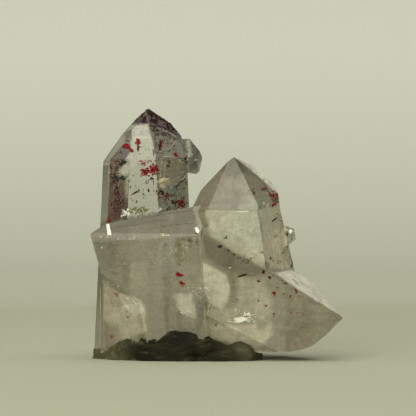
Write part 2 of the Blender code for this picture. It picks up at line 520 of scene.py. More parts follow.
@dataclass(frozen=True)
class FleckFinish:
    """A thin mineral scale, lighter and darker from place to place; the white ones are painted glints.

    Attributes:
        shade: the mineral; the glint white is a painted highlight.
        shadow: what is left of its colour in the darker patches.
        roughness: how dull it is.
        gloss: strength of its reflections.
        relief: depth of its relief in millimetres.
        patches: the lighter and darker patches.
        pits: the relief's texture.
    """

    shade: Shade
    shadow: float = 0.4
    roughness: float = 0.55
    gloss: float = 0.12
    relief: float = 0.03
    patches: Texture = Texture(0.3, 3.0)
    pits: Texture = Texture(0.12, 2.0)

    def material(self) -> bpy.types.Material:
        """Builds the material.

        Returns:
            The material.
        """
        s = Shader(f"fleck_{self.shade.name.lower()}")
        own = from_screen(*self.shade.value)
        dark = tuple(level * self.shadow for level in own)
        surface = s.principled(
            Base_Color=s.blend(s.ramp(self.patches.on(s), 0.36, 0.58), dark, own),
            Roughness=self.roughness,
            Specular_IOR_Level=self.gloss,
            Normal=s.bump(self.pits.on(s), self.relief),
        )
        return s.finish(surface)


@dataclass(frozen=True)
class RockFinish:
    """Dark olive-brown rock with paler streaks, partly painted highlights, and a dull sheen.

    Attributes:
        deep: the darkest colour.
        body: the main colour.
        streak_and_highlight: colour of the paler streaks, partly a painted highlight.
        pale: colour towards the lump's two ends.
        middle: x of the lump's middle, in millimetres.
        ends: how far from there the pale colour starts and is full.
        roughness: roughness between the streaks.
        gloss: strength of its reflections.
        relief: depth of its relief in millimetres.
        broad: patches of the main colour.
        streaks: slanting streaks, partly painted highlights.
        grains: dark grains.
        lumps: the relief's coarse part.
        pits: its fine part.
    """

    deep: Colour = from_screen(22, 20, 9)
    body: Colour = from_screen(42, 39, 18)
    streak_and_highlight: Colour = from_screen(92, 88, 58)
    pale: Colour = from_screen(104, 100, 72)
    middle: float = -6.0
    ends: tuple[float, float] = (6.5, 14.0)
    roughness: float = 0.7
    gloss: float = 0.15
    relief: float = 0.35
    broad: Texture = Texture(3.2, 4.0)
    streaks: Texture = Texture(1.2, 5.0, 0.8, stretch=(0.3, 0.5, 1.3), turn=(0.0, 14.0, 0.0))
    grains: Texture = Texture(0.22, 2.0, 0.55)
    lumps: Texture = Texture(0.9, 4.0, 0.6)
    pits: Texture = Texture(0.2, 3.0, 0.3)

    def material(self) -> bpy.types.Material:
        """Builds the material.

        Returns:
            The material.
        """
        s = Shader("olive_brown_rock")
        broad = s.ramp(self.broad.on(s), 0.35, 0.68)
        # Paler, glossier streaks: partly the rock's own markings, partly painted highlights.
        streaks = s.ramp(self.streaks.on(s), 0.52, 0.8)
        grains = s.ramp(self.grains.on(s), 0.5, 0.75)
        ends = s.ramp(s.maths("ABSOLUTE", s.place("X") - self.middle), *self.ends)
        colour = s.blend(broad, self.deep, self.body)
        colour = s.blend((ends * (0.4 + streaks + broad * 0.4)).clamp(), colour, self.pale)
        colour = s.blend(streaks * self.streaks.share, colour, self.streak_and_highlight)
        colour = s.blend(grains * self.grains.share, colour, self.deep)
        relief = self.lumps.on(s) * self.lumps.share + self.pits.on(s) * self.pits.share
        surface = s.principled(
            Base_Color=colour,
            Roughness=self.roughness - streaks * 0.15,
            Specular_IOR_Level=self.gloss,
            Normal=s.bump(relief, self.relief),
        )
        return s.finish(surface)


@dataclass(frozen=True)
class StudioFinish:
    """The pale surface that the specimen stands on and is seen against, with painted shade towards four
    corners of the room.

    Attributes:
        floor: colour of the flat floor.
        wall: colour that the sweep reaches at its full lift.
        lift: that height in millimetres.
        rise_from: distance from the middle at which the wall's colour starts to come in.
        spread: how much of the lift each millimetre outwards from there counts for.
        painted_corner_shade: painted shade, how dark the sweep is towards the four corners of the room, as a
            share of its own colour.
        corners: number of those dark corners.
        near: distance within which no corner is dark.
        far: distance from which they are fully dark.
    """

    floor: Colour = from_screen(172, 174, 150)
    wall: Colour = from_screen(228, 230, 212)
    lift: float = 150.0
    rise_from: float = 250.0
    spread: float = 0.05
    painted_corner_shade: float = 0.16
    corners: float = 4.0
    near: float = 480.0
    far: float = 760.0

    def material(self) -> bpy.types.Material:
        """Builds the material.

        Returns:
            The material.
        """
        s = Shader("studio_sweep")
        bearing = s.maths("ARCTAN2", s.place("X"), s.place("Y"))
        ahead = s.maths("COSINE", bearing * self.corners)
        distance = s.maths("SQRT", s.place("X") * s.place("X") + s.place("Y") * s.place("Y"))
        outwards = (distance - self.rise_from).most(0.0) * self.spread
        risen = ((s.place("Z").most(0.0) + outwards) * (1.0 / self.lift)).clamp() ** 0.5
        colour = s.blend(risen, self.floor, self.wall)
        # Painted shade: the sweep darkens towards four corners of the room, standing for unlit sides.
        unshaded_share = s.ramp(ahead, 0.05, 0.75).most(s.ramp(distance, self.far, self.near))
        colour = s.shade(colour, unshaded_share * (1.0 - self.painted_corner_shade) + self.painted_corner_shade)
        return s.finish(s.principled(Base_Color=colour, Roughness=0.9, Specular_IOR_Level=0.1))


def add_object(name: str, mesh: bpy.types.Mesh, *materials: bpy.types.Material) -> bpy.types.Object:
    """Links a new object for a mesh.

    Args:
        name: the piece's name.
        mesh: its mesh, in metres.
        materials: its materials, in the order of its slots.

    Returns:
        The object.
    """
    made = bpy.data.objects.new(name, mesh)
    bpy.context.scene.collection.objects.link(made)
    for material in materials:
        made.data.materials.append(material)
    return made


def mesh_from(name: str, made: bmesh.types.BMesh) -> bpy.types.Mesh:
    """Turns a bmesh into a mesh and frees it.

    Args:
        name: the mesh's name.
        made: the bmesh.

    Returns:
        The mesh.
    """
    mesh = bpy.data.meshes.new(name)
    made.to_mesh(mesh)
    made.free()
    return mesh


def node_mesh(node: str) -> bmesh.types.BMesh:
    """Copies a CAD node's solid.

    Args:
        node: the node's name.

    Returns:
        The copy, in metres.
    """
    copy = bmesh.new()
    copy.from_mesh(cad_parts[node].data)
    bmesh.ops.remove_doubles(copy, verts=copy.verts, dist=1e-6)
    return copy


Outline = tuple[tuple[float, float], ...]


@dataclass(frozen=True)
class Haze:
    """A soft-edged region of mist in the crystals, outlined in the picture's pixels; its tone is matched face
    by face and on many faces holds painted light and shade.

    Attributes:
        outline: the region's corners.
        tone: its colour on the screen: the quartz's colour, and on many faces painted light and shade as
            well.
        mist: share of milky scatter, 0 to 1.
        soft: width of its edge in pixels.
        frost: how matt the faces are, 0 to 1.
        turned: how far to +X a face must be turned to take the haze, as its normal's x.
    """

    outline: Outline
    tone: tuple[int, int, int]
    mist: float
    soft: float = 4.0
    frost: float = 0.4
    turned: float = -1.1

    def share(self, pixels: np.ndarray) -> np.ndarray:
        """How much of the region each place in the picture has.

        Args:
            pixels: the places, one a row.

        Returns:
            A share from 0 to 1 for each.
        """
        inside = np.zeros(len(pixels), dtype=bool)
        nearest = np.full(len(pixels), 1e9)
        across, down = pixels[:, 0], pixels[:, 1]
        for (ax, ay), (bx, by) in zip(self.outline, self.outline[1:] + self.outline[:1]):
            along = np.array((bx - ax, by - ay))
            reach = max(float(along @ along), 1e-9)
            part = np.clip(((across - ax) * along[0] + (down - ay) * along[1]) / reach, 0.0, 1.0)
            gap = np.hypot(across - ax - part * along[0], down - ay - part * along[1])
            nearest = np.minimum(nearest, gap)
            if ay != by:
                crosses = (down >= min(ay, by)) & (down < max(ay, by))
                inside ^= crosses & (across < ax + (down - ay) * (bx - ax) / (by - ay))
        signed = np.where(inside, nearest, -nearest)
        step = np.clip(signed / max(self.soft, 0.1) + 0.5, 0.0, 1.0)
        return step * step * (3.0 - 2.0 * step)


# Tones matched face by face: besides the quartz's own colours, many of them are painted light and shade.
TALL_POINT_HAZE = (
    Haze(((94, 350), (97, 262), (100, 200), (104, 158), (142, 111), (149, 109), (171, 122), (183, 137),
          (190, 175), (192, 215), (150, 224), (110, 234)), (150, 150, 126), 0.10, 1.0, 0.06),
    Haze(((99, 345), (96, 262), (99, 215), (103, 157), (111, 157), (108, 215), (104, 262), (103, 345)),
         (150, 150, 127), 0.72, 1.5, 0.2),
    Haze(((103, 159), (142, 110), (144, 116), (113, 157)), (150, 146, 120), 0.62, 1.5, 0.2),
    Haze(((110, 159), (133, 132), (131, 139), (131, 152), (127, 158), (126, 164), (120, 174), (126, 176),
          (126, 206), (120, 219), (107, 222)), (74, 58, 34), 0.92, 1.6, 0.2),
    Haze(((110, 182), (125, 180), (125.5, 206), (119, 219), (107, 222)), (76, 48, 38), 0.86, 4.0, 0.2),
    Haze(((128, 130), (143, 112), (149, 108.5), (172, 122), (184, 138), (176, 137), (160, 128), (149, 126),
          (132, 127)), (52, 32, 8), 0.95, 1.5, 0.2),
    # Painted shade: dark tones on the tall point's right face, standing for the dark room seen through it.
    Haze(((148, 126), (165, 129), (184, 138), (190, 175), (192, 214), (158.7, 216), (157, 185), (156.4, 169),
          (154, 151), (151, 139)), (78, 74, 44), 0.9, 1.5, 0.2),
    Haze(((160, 190), (176, 186), (190, 178), (190, 206), (172, 210), (160, 209)),
         (92, 94, 74), 0.86, 5.0, 0.2),
    Haze(((184, 180), (190, 172), (191, 212), (185, 210)), (98, 101, 80), 0.82, 2.5, 0.2),
    Haze(((158, 163), (164, 157), (170, 156), (187, 163), (187.5, 171), (180, 182), (174, 186), (166, 185.5),
          (159, 178)), (118, 110, 86), 0.84, 1.6, 0.2),
    Haze(((129, 126), (148, 125.7), (151, 139), (154, 151), (155, 160), (139, 166), (121, 172), (128, 156),
          (132, 150), (131, 139)), (205, 206, 188), 0.16, 1.5, 0.05),
    Haze(((130, 125.5), (147.5, 125), (150.5, 138), (128, 138)), (184, 185, 167), 0.88, 2.2, 0.1),
    Haze(((125, 133), (131.3, 128), (131.6, 151), (128, 157), (125.5, 160)), (76, 62, 40), 0.88, 1.0, 0.2),
    Haze(((131.5, 152), (127, 158), (119, 172.5), (127, 176), (131.5, 168)), (190, 188, 168), 0.82, 1.2, 0.2),
)
SHOULDER_HAZE = (
    Haze(((183, 137), (190, 137), (197, 143), (203, 150.5), (201, 160), (197, 169), (186, 173)),
         (44, 46, 30), 0.92, 1.0, 0.15),
    Haze(((186, 139), (190, 139), (192, 155), (188, 157)), (150, 153, 130), 0.85, 2.0, 0.15),
    Haze(((191, 158), (198, 150), (196, 163), (191, 168)), (38, 40, 25), 0.9, 2.5, 0.15),
)
BLOCK_HAZE = (
    Haze(((88, 233), (104, 222.5), (150, 213), (193, 206), (201, 214), (201, 234), (190, 236), (90, 238)),
         (93, 87, 55), 0.92, 1.2),
    Haze(((88, 233), (200, 234), (203, 262), (200, 300), (205, 345), (90, 352), (98, 262)),
         (127, 123, 97), 0.88, 1.2),
    Haze(((91, 236), (118, 236), (116, 262), (104, 276)), (104, 100, 78), 0.9, 7.0),
    Haze(((130, 263), (147.5, 262), (148, 272), (145.6, 297), (136, 297), (127, 290)),
         (137, 132, 105), 0.88, 2.0),
    Haze(((148, 240), (156, 240), (156, 300), (147, 300)), (124, 119, 96), 0.88, 5.0),
    Haze(((160, 238), (174, 238), (176, 272), (158, 272)), (132, 132, 110), 0.85, 5.0),
    Haze(((176, 238), (187, 238), (186, 262), (176, 262)), (118, 113, 74), 0.88, 5.0),
    Haze(((187, 240), (201, 240), (202, 264), (188, 264)), (112, 110, 84), 0.88, 4.0),
    Haze(((103, 279), (119, 293), (136, 297), (143, 303), (145, 314), (147, 332), (116, 342), (103, 346)),
         (172, 166, 140), 0.92, 1.2),
    Haze(((120, 294), (136, 298), (143, 304), (144, 312), (132, 314), (122, 304)),
         (204, 201, 180), 0.95, 3.0),
    Haze(((103, 322), (120, 326), (122, 344), (103, 347)), (134, 128, 104), 0.9, 8.0),
    Haze(((147, 300), (172, 296), (178, 310), (196, 326), (205, 344), (150, 336)), (121, 116, 93), 0.88, 5.0),
    # Painted light: a bright window in the block where light comes through, given as a pale milky tone.
    Haze(((174, 294), (192, 294), (194, 307), (195.5, 318), (184, 313), (176, 306)),
         (182, 180, 156), 0.88, 1.6),
)
RIGHT_POINT_HAZE = (
    Haze(((193, 208), (200, 190), (228, 160), (234, 155.5), (278, 193), (281, 205), (298, 272), (262, 270),
          (200, 234)), (140, 136, 113), 0.86, 1.0),
    Haze(((222, 168), (234, 155), (246, 167), (240, 178), (228, 178)), (116, 113, 90), 0.9, 6.0),
    Haze(((196, 206), (202, 190), (226, 164), (222, 186), (208, 208)), (132, 127, 104), 0.9, 6.0),
    # Painted highlight: a near-white sliver along the right point's upper edge.
    Haze(((237, 157), (256, 166), (270, 178), (279, 192), (277, 193)), (222, 221, 198), 0.72, 1.0, 0.2),
    Haze(((228, 176), (247, 178), (248, 196), (228, 197)), (141, 138, 112), 0.86, 7.0),
    Haze(((206, 210), (257, 210), (262, 232), (268, 262), (238, 253), (208, 234), (202, 222)),
         (191, 191, 167), 0.88, 1.4),
    Haze(((243, 197), (254, 195), (257, 210), (238, 210)), (160, 160, 138), 0.82, 3.0),
    Haze(((254, 190), (268, 192), (272, 203), (263, 212), (257, 210)), (150, 150, 126), 0.88, 2.5),
    Haze(((258, 210), (281, 203), (298, 271), (267, 262), (262, 232)), (206, 203, 176), 0.9, 1.4),
    Haze(((272, 240), (292, 240), (298, 271), (270, 268)), (222, 216, 188), 0.9, 6.0),
    Haze(((193, 206), (200, 210), (208, 218), (210, 236), (199, 233)), (140, 136, 110), 0.88, 3.0),
    Haze(((214, 236), (240, 246), (266, 260), (262, 268), (232, 252)), (183, 179, 153), 0.88, 3.0),
)
LOW_POINT_HAZE = (
    Haze(((199, 233), (262, 268.5), (275, 274.5), (295, 288), (320, 304), (344, 318), (337, 324),
         (328, 334), (308, 348), (285, 354), (262, 351), (203, 345), (200, 300), (203, 262)),
         (141, 138, 114), 0.88, 1.0),
    # Painted light: a near-white tone on the low point's upper face, which catches the light from above.
    Haze(((275, 273), (297, 269), (311, 279), (325, 294), (344, 317), (320, 303), (295, 287)),
         (246, 245, 223), 0.8, 1.0, 0.2),
    # Painted shade: a dark band just under the low point's front edge, fading downwards.
    Haze(((200, 234), (262, 268), (266, 274), (250, 278), (228, 272), (206, 258)), (104, 98, 74), 0.9, 7.0),
    # Painted light: a bright window in the low point where light comes through, given as a pale milky tone.
    Haze(((202.5, 262), (217.5, 270), (226, 275), (230, 287), (228, 300), (222, 310), (212, 305), (205, 295),
          (203, 282)), (195, 195, 170), 0.9, 1.8),
    Haze(((228, 270), (244, 276), (246, 296), (234, 296)), (122, 117, 91), 0.88, 5.0),
    Haze(((238, 277), (264, 281), (272, 300), (268, 322), (244, 316), (236, 300)),
         (171, 168, 144), 0.88, 8.0),
    Haze(((194, 301), (208, 302.5), (205, 315), (200, 319), (195.6, 312)), (104, 103, 82), 0.88, 1.5),
    Haze(((208, 304), (224, 310), (236, 306), (262, 312), (258, 326), (222, 330), (206, 322)),
         (164, 160, 133), 0.9, 5.0),
    Haze(((204, 322), (232, 326), (256, 324), (262, 344), (232, 344), (208, 338)), (204, 199, 171), 0.9, 5.0),
    Haze(((252, 334), (262, 328), (272, 322), (277, 330), (262, 345), (253, 350)), (188, 184, 154), 0.9, 5.0),
    Haze(((276, 300), (320, 306), (338, 318), (318, 336), (284, 346), (272, 330)),
         (138, 135, 111), 0.88, 7.0),
    Haze(((283, 346), (330, 326), (338, 322), (328, 334), (308, 348), (285, 354)), (137, 134, 109), 0.9, 5.0),
    Haze(((200.5, 316), (206, 316), (206, 340), (200.5, 340)), (112, 107, 84), 0.9, 1.2),
    # Painted light: a pale tone on the block's right-facing side along its edge, lifting the shade that falls
    # there beside the low point.
    Haze(((197, 234), (206, 234), (210, 344), (202, 344)), (222, 218, 188), 0.92, 0.5, turned=0.7),
    Haze(((288, 227), (296, 227), (297, 238), (290, 247), (286, 246)), (150, 152, 128), 0.5, 0.8, 0.2),
)
HAZES = TALL_POINT_HAZE + SHOULDER_HAZE + BLOCK_HAZE + RIGHT_POINT_HAZE + LOW_POINT_HAZE


@dataclass
class CrystalCluster:
    """All the crystals, grown together: the CAD solid with fine edges and its misty zones, whose tones hold
    painted light and shade.

    Attributes:
        edge_width: width of the tiny facet along each sharp edge, in millimetres.
        fine: longest edge that is left when the faces are cut up for the misty zones, in millimetres.
        hazes: the misty zones with their tones, many of which are painted light and shade, later ones over
            earlier ones.
        low_mist: share of milk in the low crystals, where no region says otherwise.
        high_mist: share of milk in the tall point, likewise.
        frost: how matt the low crystals are.
        frost_drop: how much less matt the tall point is.
        base_tone: colour of the milk where no region says otherwise, as on a screen.
        clear_from: height at which the clear part of the tall point starts, in millimetres.
        clear_over: height over which it gets clear.
        clear_side: x at which it starts, from the right.
        clear_aside: width over which it gets clear.
        slack: how far behind the nearest face a face still counts as in view, in millimetres.
        flat_angle: faces that differ by less are joined, in degrees.
        sharp_angle: edges that turn by more get their facet, in degrees.
        halvings: how often long edges are halved at most.
        solid: the crystals' faces for lines of sight, set by build.
    """

    edge_width: float = 0.06
    fine: float = 0.75
    hazes: tuple[Haze, ...] = HAZES
    low_mist: float = 0.6
    high_mist: float = 0.05
    frost: float = 0.4
    frost_drop: float = 0.35
    base_tone: tuple[int, int, int] = (200, 196, 172)
    clear_from: float = 20.0
    clear_over: float = 5.0
    clear_side: float = -2.0
    clear_aside: float = 2.0
    slack: float = 0.25
    flat_angle: float = 0.4
    sharp_angle: float = 12.0
    halvings: int = 9
    solid: Optional[BVHTree] = field(default=None, repr=False)

    def build(self) -> bpy.types.Object:
        """Builds, dresses and rides the cluster.

        Returns:
            The piece.
        """
        made = node_mesh(CRYSTALS_NODE)
        self.solid = BVHTree.FromBMesh(made)
        flat = math.radians(self.flat_angle)
        bmesh.ops.dissolve_limit(made, angle_limit=flat, verts=made.verts, edges=made.edges)
        turned = math.radians(self.sharp_angle)
        sharp = [edge for edge in made.edges if edge.is_manifold and edge.calc_face_angle() > turned]
        bmesh.ops.bevel(
            made,
            geom=sharp,
            offset=self.edge_width * MM,
            offset_type="OFFSET",
            segments=1,
            affect="EDGES",
            clamp_overlap=True,
        )
        bmesh.ops.triangulate(made, faces=made.faces)
        self._cut_up(made)
        mesh = mesh_from("smoky_quartz_points", made)
        self._tone(mesh)
        piece = add_object("smoky_quartz_points", mesh, QuartzFinish().material())
        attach(piece, BODY)
        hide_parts(CRYSTALS_NODE)
        return piece

    def _cut_up(self, made: bmesh.types.BMesh) -> None:
        """Halves long edges until none is longer than the fine length.

        Args:
            made: the mesh.
        """
        for _ in range(self.halvings):
            long_edges = [edge for edge in made.edges if edge.calc_length() > self.fine * MM]
            if not long_edges:
                return
            bmesh.ops.subdivide_edges(made, edges=long_edges, cuts=1, use_grid_fill=True)
            bmesh.ops.triangulate(made, faces=[face for face in made.faces if len(face.verts) > 3])

    def _in_view(self, mesh: bpy.types.Mesh) -> np.ndarray:
        """Finds the faces that nothing hides from the camera.

        Args:
            mesh: the cut-up mesh.

        Returns:
            Whether each face is in view.
        """
        eye = Vector(VIEW.stand) * MM
        seen = np.ones(len(mesh.polygons), dtype=bool)
        for polygon in mesh.polygons:
            sight = polygon.center - eye
            _, _, _, reach = self.solid.ray_cast(eye, sight.normalized())
            seen[polygon.index] = reach is None or reach > sight.length - self.slack * MM
        return seen

    def _tone(self, mesh: bpy.types.Mesh) -> None:
        """Gives every corner of the mesh its mist, frost and tone; where a haze sets the tone, it holds
        painted light and shade.

        Args:
            mesh: the cut-up mesh.
        """
        count = len(mesh.loops)
        spots = np.empty(len(mesh.vertices) * 3)
        mesh.vertices.foreach_get("co", spots)
        owners = np.empty(count, dtype=np.int32)
        mesh.loops.foreach_get("vertex_index", owners)
        at = (spots.reshape(-1, 3) / MM)[owners]
        normals = np.empty(len(mesh.polygons) * 3)
        mesh.polygons.foreach_get("normal", normals)
        totals = np.empty(len(mesh.polygons), dtype=np.int32)
        mesh.polygons.foreach_get("loop_total", totals)
        facing = np.repeat(normals.reshape(-1, 3), totals, axis=0)
        shown = np.einsum("ij,ij->i", facing, at - np.array(VIEW.stand)) < 0.0
        shown &= np.repeat(self._in_view(mesh), totals)
        high = np.clip((at[:, 2] - self.clear_from) / self.clear_over, 0.0, 1.0)
        high *= np.clip((self.clear_side - at[:, 0]) / self.clear_aside, 0.0, 1.0)
        mist = self.low_mist + (self.high_mist - self.low_mist) * high
        frost = self.frost - self.frost_drop * high
        tone = np.tile(np.array(from_screen(*self.base_tone)), (count, 1))
        pixels = VIEW.pixels_of(at)
        # The haze tones, painted light and shade among them, go into the colour here.
        for haze in self.hazes:
            share = haze.share(pixels) * (shown & (facing[:, 0] > haze.turned))
            mist += (haze.mist - mist) * share
            frost += (haze.frost - frost) * share
            tone += (np.array(from_screen(*haze.tone)) - tone) * share[:, None]
        for name, values in (("mist", mist), ("frost", frost)):
            mesh.attributes.new(name, "FLOAT", "CORNER").data.foreach_set("value", values.astype(np.float32))
        colours = np.concatenate((tone, np.ones((count, 1))), axis=1).astype(np.float32)
        mesh.attributes.new("tone", "FLOAT_COLOR", "CORNER").data.foreach_set("color", colours.ravel())
        for polygon in mesh.polygons:
            polygon.use_smooth = False


@dataclass(frozen=True)
class Patch:
    """A scatter of flecks, placed by the picture.

    Attributes:
        across: middle in pixels from the left.
        down: middle in pixels from the top.
        wide: half its width in pixels.
        tall: half its height in pixels.
        count: how many flecks.
        size: a fleck's length in pixels.
        slim: a fleck's width as a share of its length.
        turn: the flecks' slant in degrees, anticlockwise from level.
        spread: how loosely they lie round the middle, as a share of its half width and height.
        sizes: least and greatest share of the length that a fleck has.
        waver: how much their slants differ, in degrees.
    """

    across: float
    down: float
    wide: float
    tall: float
    count: int
    size: float
    slim: float = 0.7
    turn: float = 0.0
    spread: float = 0.5
    sizes: tuple[float, float] = (0.5, 1.25)
    waver: float = 22.0

    def outlines(self, chance: random.Random) -> Iterable[Outline]:
        """The ragged outlines of the patch's flecks.

        Args:
            chance: where their places come from.

        Returns:
            The outlines, one by one.
        """
        for _ in range(self.count):
            middle = (
                self.across + max(-1.0, min(1.0, chance.gauss(0.0, self.spread))) * self.wide,
                self.down + max(-1.0, min(1.0, chance.gauss(0.0, self.spread))) * self.tall,
            )
            size = self.size * chance.uniform(*self.sizes)
            slant = math.radians(self.turn + chance.gauss(0.0, self.waver))
            yield ragged(middle, size, self.slim, slant, chance)


def ragged(
    middle: tuple[float, float], size: float, slim: float, slant: float, chance: random.Random
) -> Outline:
    """A ragged closed outline.

    Args:
        middle: its middle in pixels.
        size: its length in pixels.
        slim: its width as a share of its length.
        slant: its slant in radians, anticlockwise as seen.
        chance: where its raggedness comes from.

    Returns:
        The outline's corners in pixels.
    """
    corners = 8
    points = []
    for k in range(corners):
        angle = 2.0 * math.pi * (k + chance.uniform(-0.3, 0.3)) / corners
        reach = 0.5 * size * chance.uniform(0.6, 1.2)
        along, aside = reach * math.cos(angle), reach * math.sin(angle) * slim
        points.append((
            middle[0] + along * math.cos(slant) - aside * math.sin(slant),
            middle[1] - along * math.sin(slant) - aside * math.cos(slant),
        ))
    return tuple(points)


@dataclass(frozen=True)
class Thread:
    """A fine line along the crystals' faces.

    Attributes:
        path: the pixels that it goes through.
        width: its width in pixels.
        step: length of its straight pieces in pixels.
    """

    path: Outline
    width: float
    step: float = 2.5

    def outlines(self, _: random.Random) -> Iterable[Outline]:
        """The line as short four-cornered pieces.

        Args:
            _: not used, since nothing here is left to chance.

        Returns:
            The pieces, one by one.
        """
        for (ax, ay), (bx, by) in zip(self.path, self.path[1:]):
            length = math.hypot(bx - ax, by - ay)
            steps = max(1, round(length / self.step))
            side = (-(by - ay) / length * self.width / 2.0, (bx - ax) / length * self.width / 2.0)
            for k in range(steps):
                start = (ax + (bx - ax) * k / steps, ay + (by - ay) * k / steps)
                stop = (ax + (bx - ax) * (k + 1) / steps, ay + (by - ay) * (k + 1) / steps)
                yield (
                    (start[0] + side[0], start[1] + side[1]),
                    (stop[0] + side[0], stop[1] + side[1]),
                    (stop[0] - side[0], stop[1] - side[1]),
                    (start[0] - side[0], start[1] - side[1]),
                )


@dataclass(frozen=True)
class Scale:
    """One plate of mineral with its own outline in the picture's pixels."""

    outline: Outline

    def outlines(self, _: random.Random) -> Iterable[Outline]:
        """The plate's outline."""
        yield self.outline


@dataclass(frozen=True)
class Sprinkle:
    """Plates strewn over the sides that the picture doesn't show.

    Attributes:
        count: how many plates.
        size: a plate's length in millimetres.
        low: height of the lowest.
        high: height of the highest.
        middle: the upright line that they are strewn around, as x and y in millimetres.
        bearings: first and last bearing, 0 to +X and 90 to the back.
        away: how far out the lines start, in millimetres.
        aside: how far to either side they miss the middle, in millimetres.
        lean: below 1, more of them lie high up.
    """

    count: int
    size: float
    low: float
    high: float
    middle: tuple[float, float]
    bearings: tuple[float, float] = (-20.0, 200.0)
    away: float = 60.0
    aside: float = 4.5
    lean: float = 0.7

    def lines(self, chance: random.Random) -> Iterable[tuple[Vector, Vector]]:
        """A line towards the crystals for each plate.

        Args:
            chance: where the lines come from.

        Returns:
            Start in metres and direction of each.
        """
        for _ in range(self.count):
            bearing = math.radians(chance.uniform(*self.bearings))
            out = Vector((math.cos(bearing), math.sin(bearing), 0.0))
            height = self.low + (self.high - self.low) * chance.random() ** self.lean
            aside = Vector((-out.y, out.x, 0.0)) * chance.uniform(-self.aside, self.aside)
            start = Vector((*self.middle, height)) + out * self.away + aside
            yield start * MM, -out


@dataclass
class FleckLayer:
    """One mineral's plates in the crystals, joined into one piece; the white plates are mostly painted
    glints.

    Attributes:
        name: the piece's name.
        shade: the mineral; the glint white is a painted highlight.
        marks: what is drawn with it.
        seed: starts the layer's chance.
        strewn: what lies on the other sides.
        proud: how far the plates stand out of the crystal's face, in millimetres.
        shadow: what is left of the colour in their darker patches.
        thickness: the plates' thickness in millimetres.
        overhang: how far off the faces a plate's corner may lie, in millimetres.
        lift: the most by which a plate lies higher than its neighbours, in millimetres.
        pulls: how far a corner is drawn to the plate's middle, in turn, until it lies on a face.
        grazing: above this, a face is seen so edge-on that its plate is turned to the camera.
        strewn_sizes: least and greatest share of the length that a strewn plate has.
        strewn_slim: a strewn plate's width as a share of its length.
    """

    name: str
    shade: Shade
    marks: tuple[Union[Patch, Thread, Scale], ...]
    seed: int
    strewn: tuple[Sprinkle, ...] = ()
    proud: float = 0.02
    shadow: float = 0.4
    thickness: float = 0.08
    overhang: float = 0.12
    lift: float = 0.015
    pulls: tuple[float, ...] = (0.0, 0.3, 0.6, 0.85)
    grazing: float = -0.2
    strewn_sizes: tuple[float, float] = (0.5, 1.2)
    strewn_slim: float = 0.6

    def build(self, solid: BVHTree) -> bpy.types.Object:
        """Builds the layer.

        Args:
            solid: the crystals' faces, which the lines of sight are tried against.

        Returns:
            The joined piece.
        """
        chance = random.Random(self.seed)
        made = bmesh.new()
        for mark in self.marks:
            for outline in mark.outlines(chance):
                self._plate(made, outline, chance, solid)
        for sprinkle in self.strewn:
            for start, heading in sprinkle.lines(chance):
                size = sprinkle.size * chance.uniform(*self.strewn_sizes)
                self._strew(made, start, heading, size, chance, solid)
        finish = FleckFinish(self.shade, self.shadow)
        piece = add_object(self.name, mesh_from(self.name, made), finish.material())
        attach(piece, BODY)
        return piece

    def _plate(
        self, made: bmesh.types.BMesh, outline: Outline, chance: random.Random, solid: BVHTree
    ) -> None:
        """Lays one plate along the face that the outline's middle is seen on.

        Args:
            made: the mesh that it joins.
            outline: its corners in pixels.
            chance: where its small lift comes from.
            solid: the crystals' faces.
        """
        count = len(outline)
        middle = (sum(spot[0] for spot in outline) / count, sum(spot[1] for spot in outline) / count)
        eye = Vector(VIEW.stand) * MM
        sight = VIEW.towards(*middle)
        point, normal, _, _ = solid.ray_cast(eye, sight)
        if point is None:
            return
        if normal.dot(sight) > self.grazing:
            normal = (normal - sight * 0.5).normalized()
        level = point + normal * (self.proud + chance.uniform(0.0, self.lift)) * MM
        ring = []
        for spot in outline:
            for pull in self.pulls:
                ray = VIEW.towards(*(own + (centre - own) * pull for own, centre in zip(spot, middle)))
                corner = eye + ray * ((level - eye).dot(normal) / ray.dot(normal))
                if self._lies_on(corner, solid):
                    break
            ring.append(corner)
        self._close(made, ring, normal)

    def _lies_on(self, corner: Vector, solid: BVHTree) -> bool:
        """Says whether a corner lies on a face, not beside an edge."""
        return solid.find_nearest(corner)[3] < self.overhang * MM

    def _strew(
        self,
        made: bmesh.types.BMesh,
        start: Vector,
        heading: Vector,
        size: float,
        chance: random.Random,
        solid: BVHTree,
    ) -> None:
        """Lays one ragged plate where a line meets a face that the camera doesn't see.

        Args:
            made: the mesh that it joins.
            start: where the line starts, in metres.
            heading: the line's direction.
            size: the plate's length in millimetres.
            chance: where its outline comes from.
            solid: the crystals' faces.
        """
        point, normal, _, _ = solid.ray_cast(start, heading)
        if point is None:
            return
        eye = Vector(VIEW.stand) * MM
        first, _, _, _ = solid.ray_cast(eye, (point - eye).normalized())
        if first is not None and (first - point).length < self.overhang * MM:
            return
        level = Vector((0.0, 0.0, 1.0)).cross(normal)
        if level.length < 0.1:
            return
        level.normalize()
        rise = normal.cross(level)
        middle = point + normal * self.proud * MM
        spots = ragged((0.0, 0.0), size, self.strewn_slim, chance.uniform(0.0, math.pi), chance)
        ring = [middle + (level * across + rise * up) * MM for across, up in spots]
        if all(self._lies_on(corner, solid) for corner in ring):
            self._close(made, ring, normal)

    def _close(self, made: bmesh.types.BMesh, ring: list[Vector], normal: Vector) -> None:
        """Makes a thin closed plate.

        Args:
            made: the mesh that it joins.
            ring: corners of its outer face, in metres.
            normal: the direction that this face looks in.
        """
        count = len(ring)
        back = normal * self.thickness * MM
        front = [made.verts.new(spot) for spot in ring]
        rear = [made.verts.new(spot - back) for spot in ring]
        made.faces.new(front)
        made.faces.new(list(reversed(rear)))
        for k in range(count):
            after = (k + 1) % count
            made.faces.new((front[k], rear[k], rear[after], front[after]))


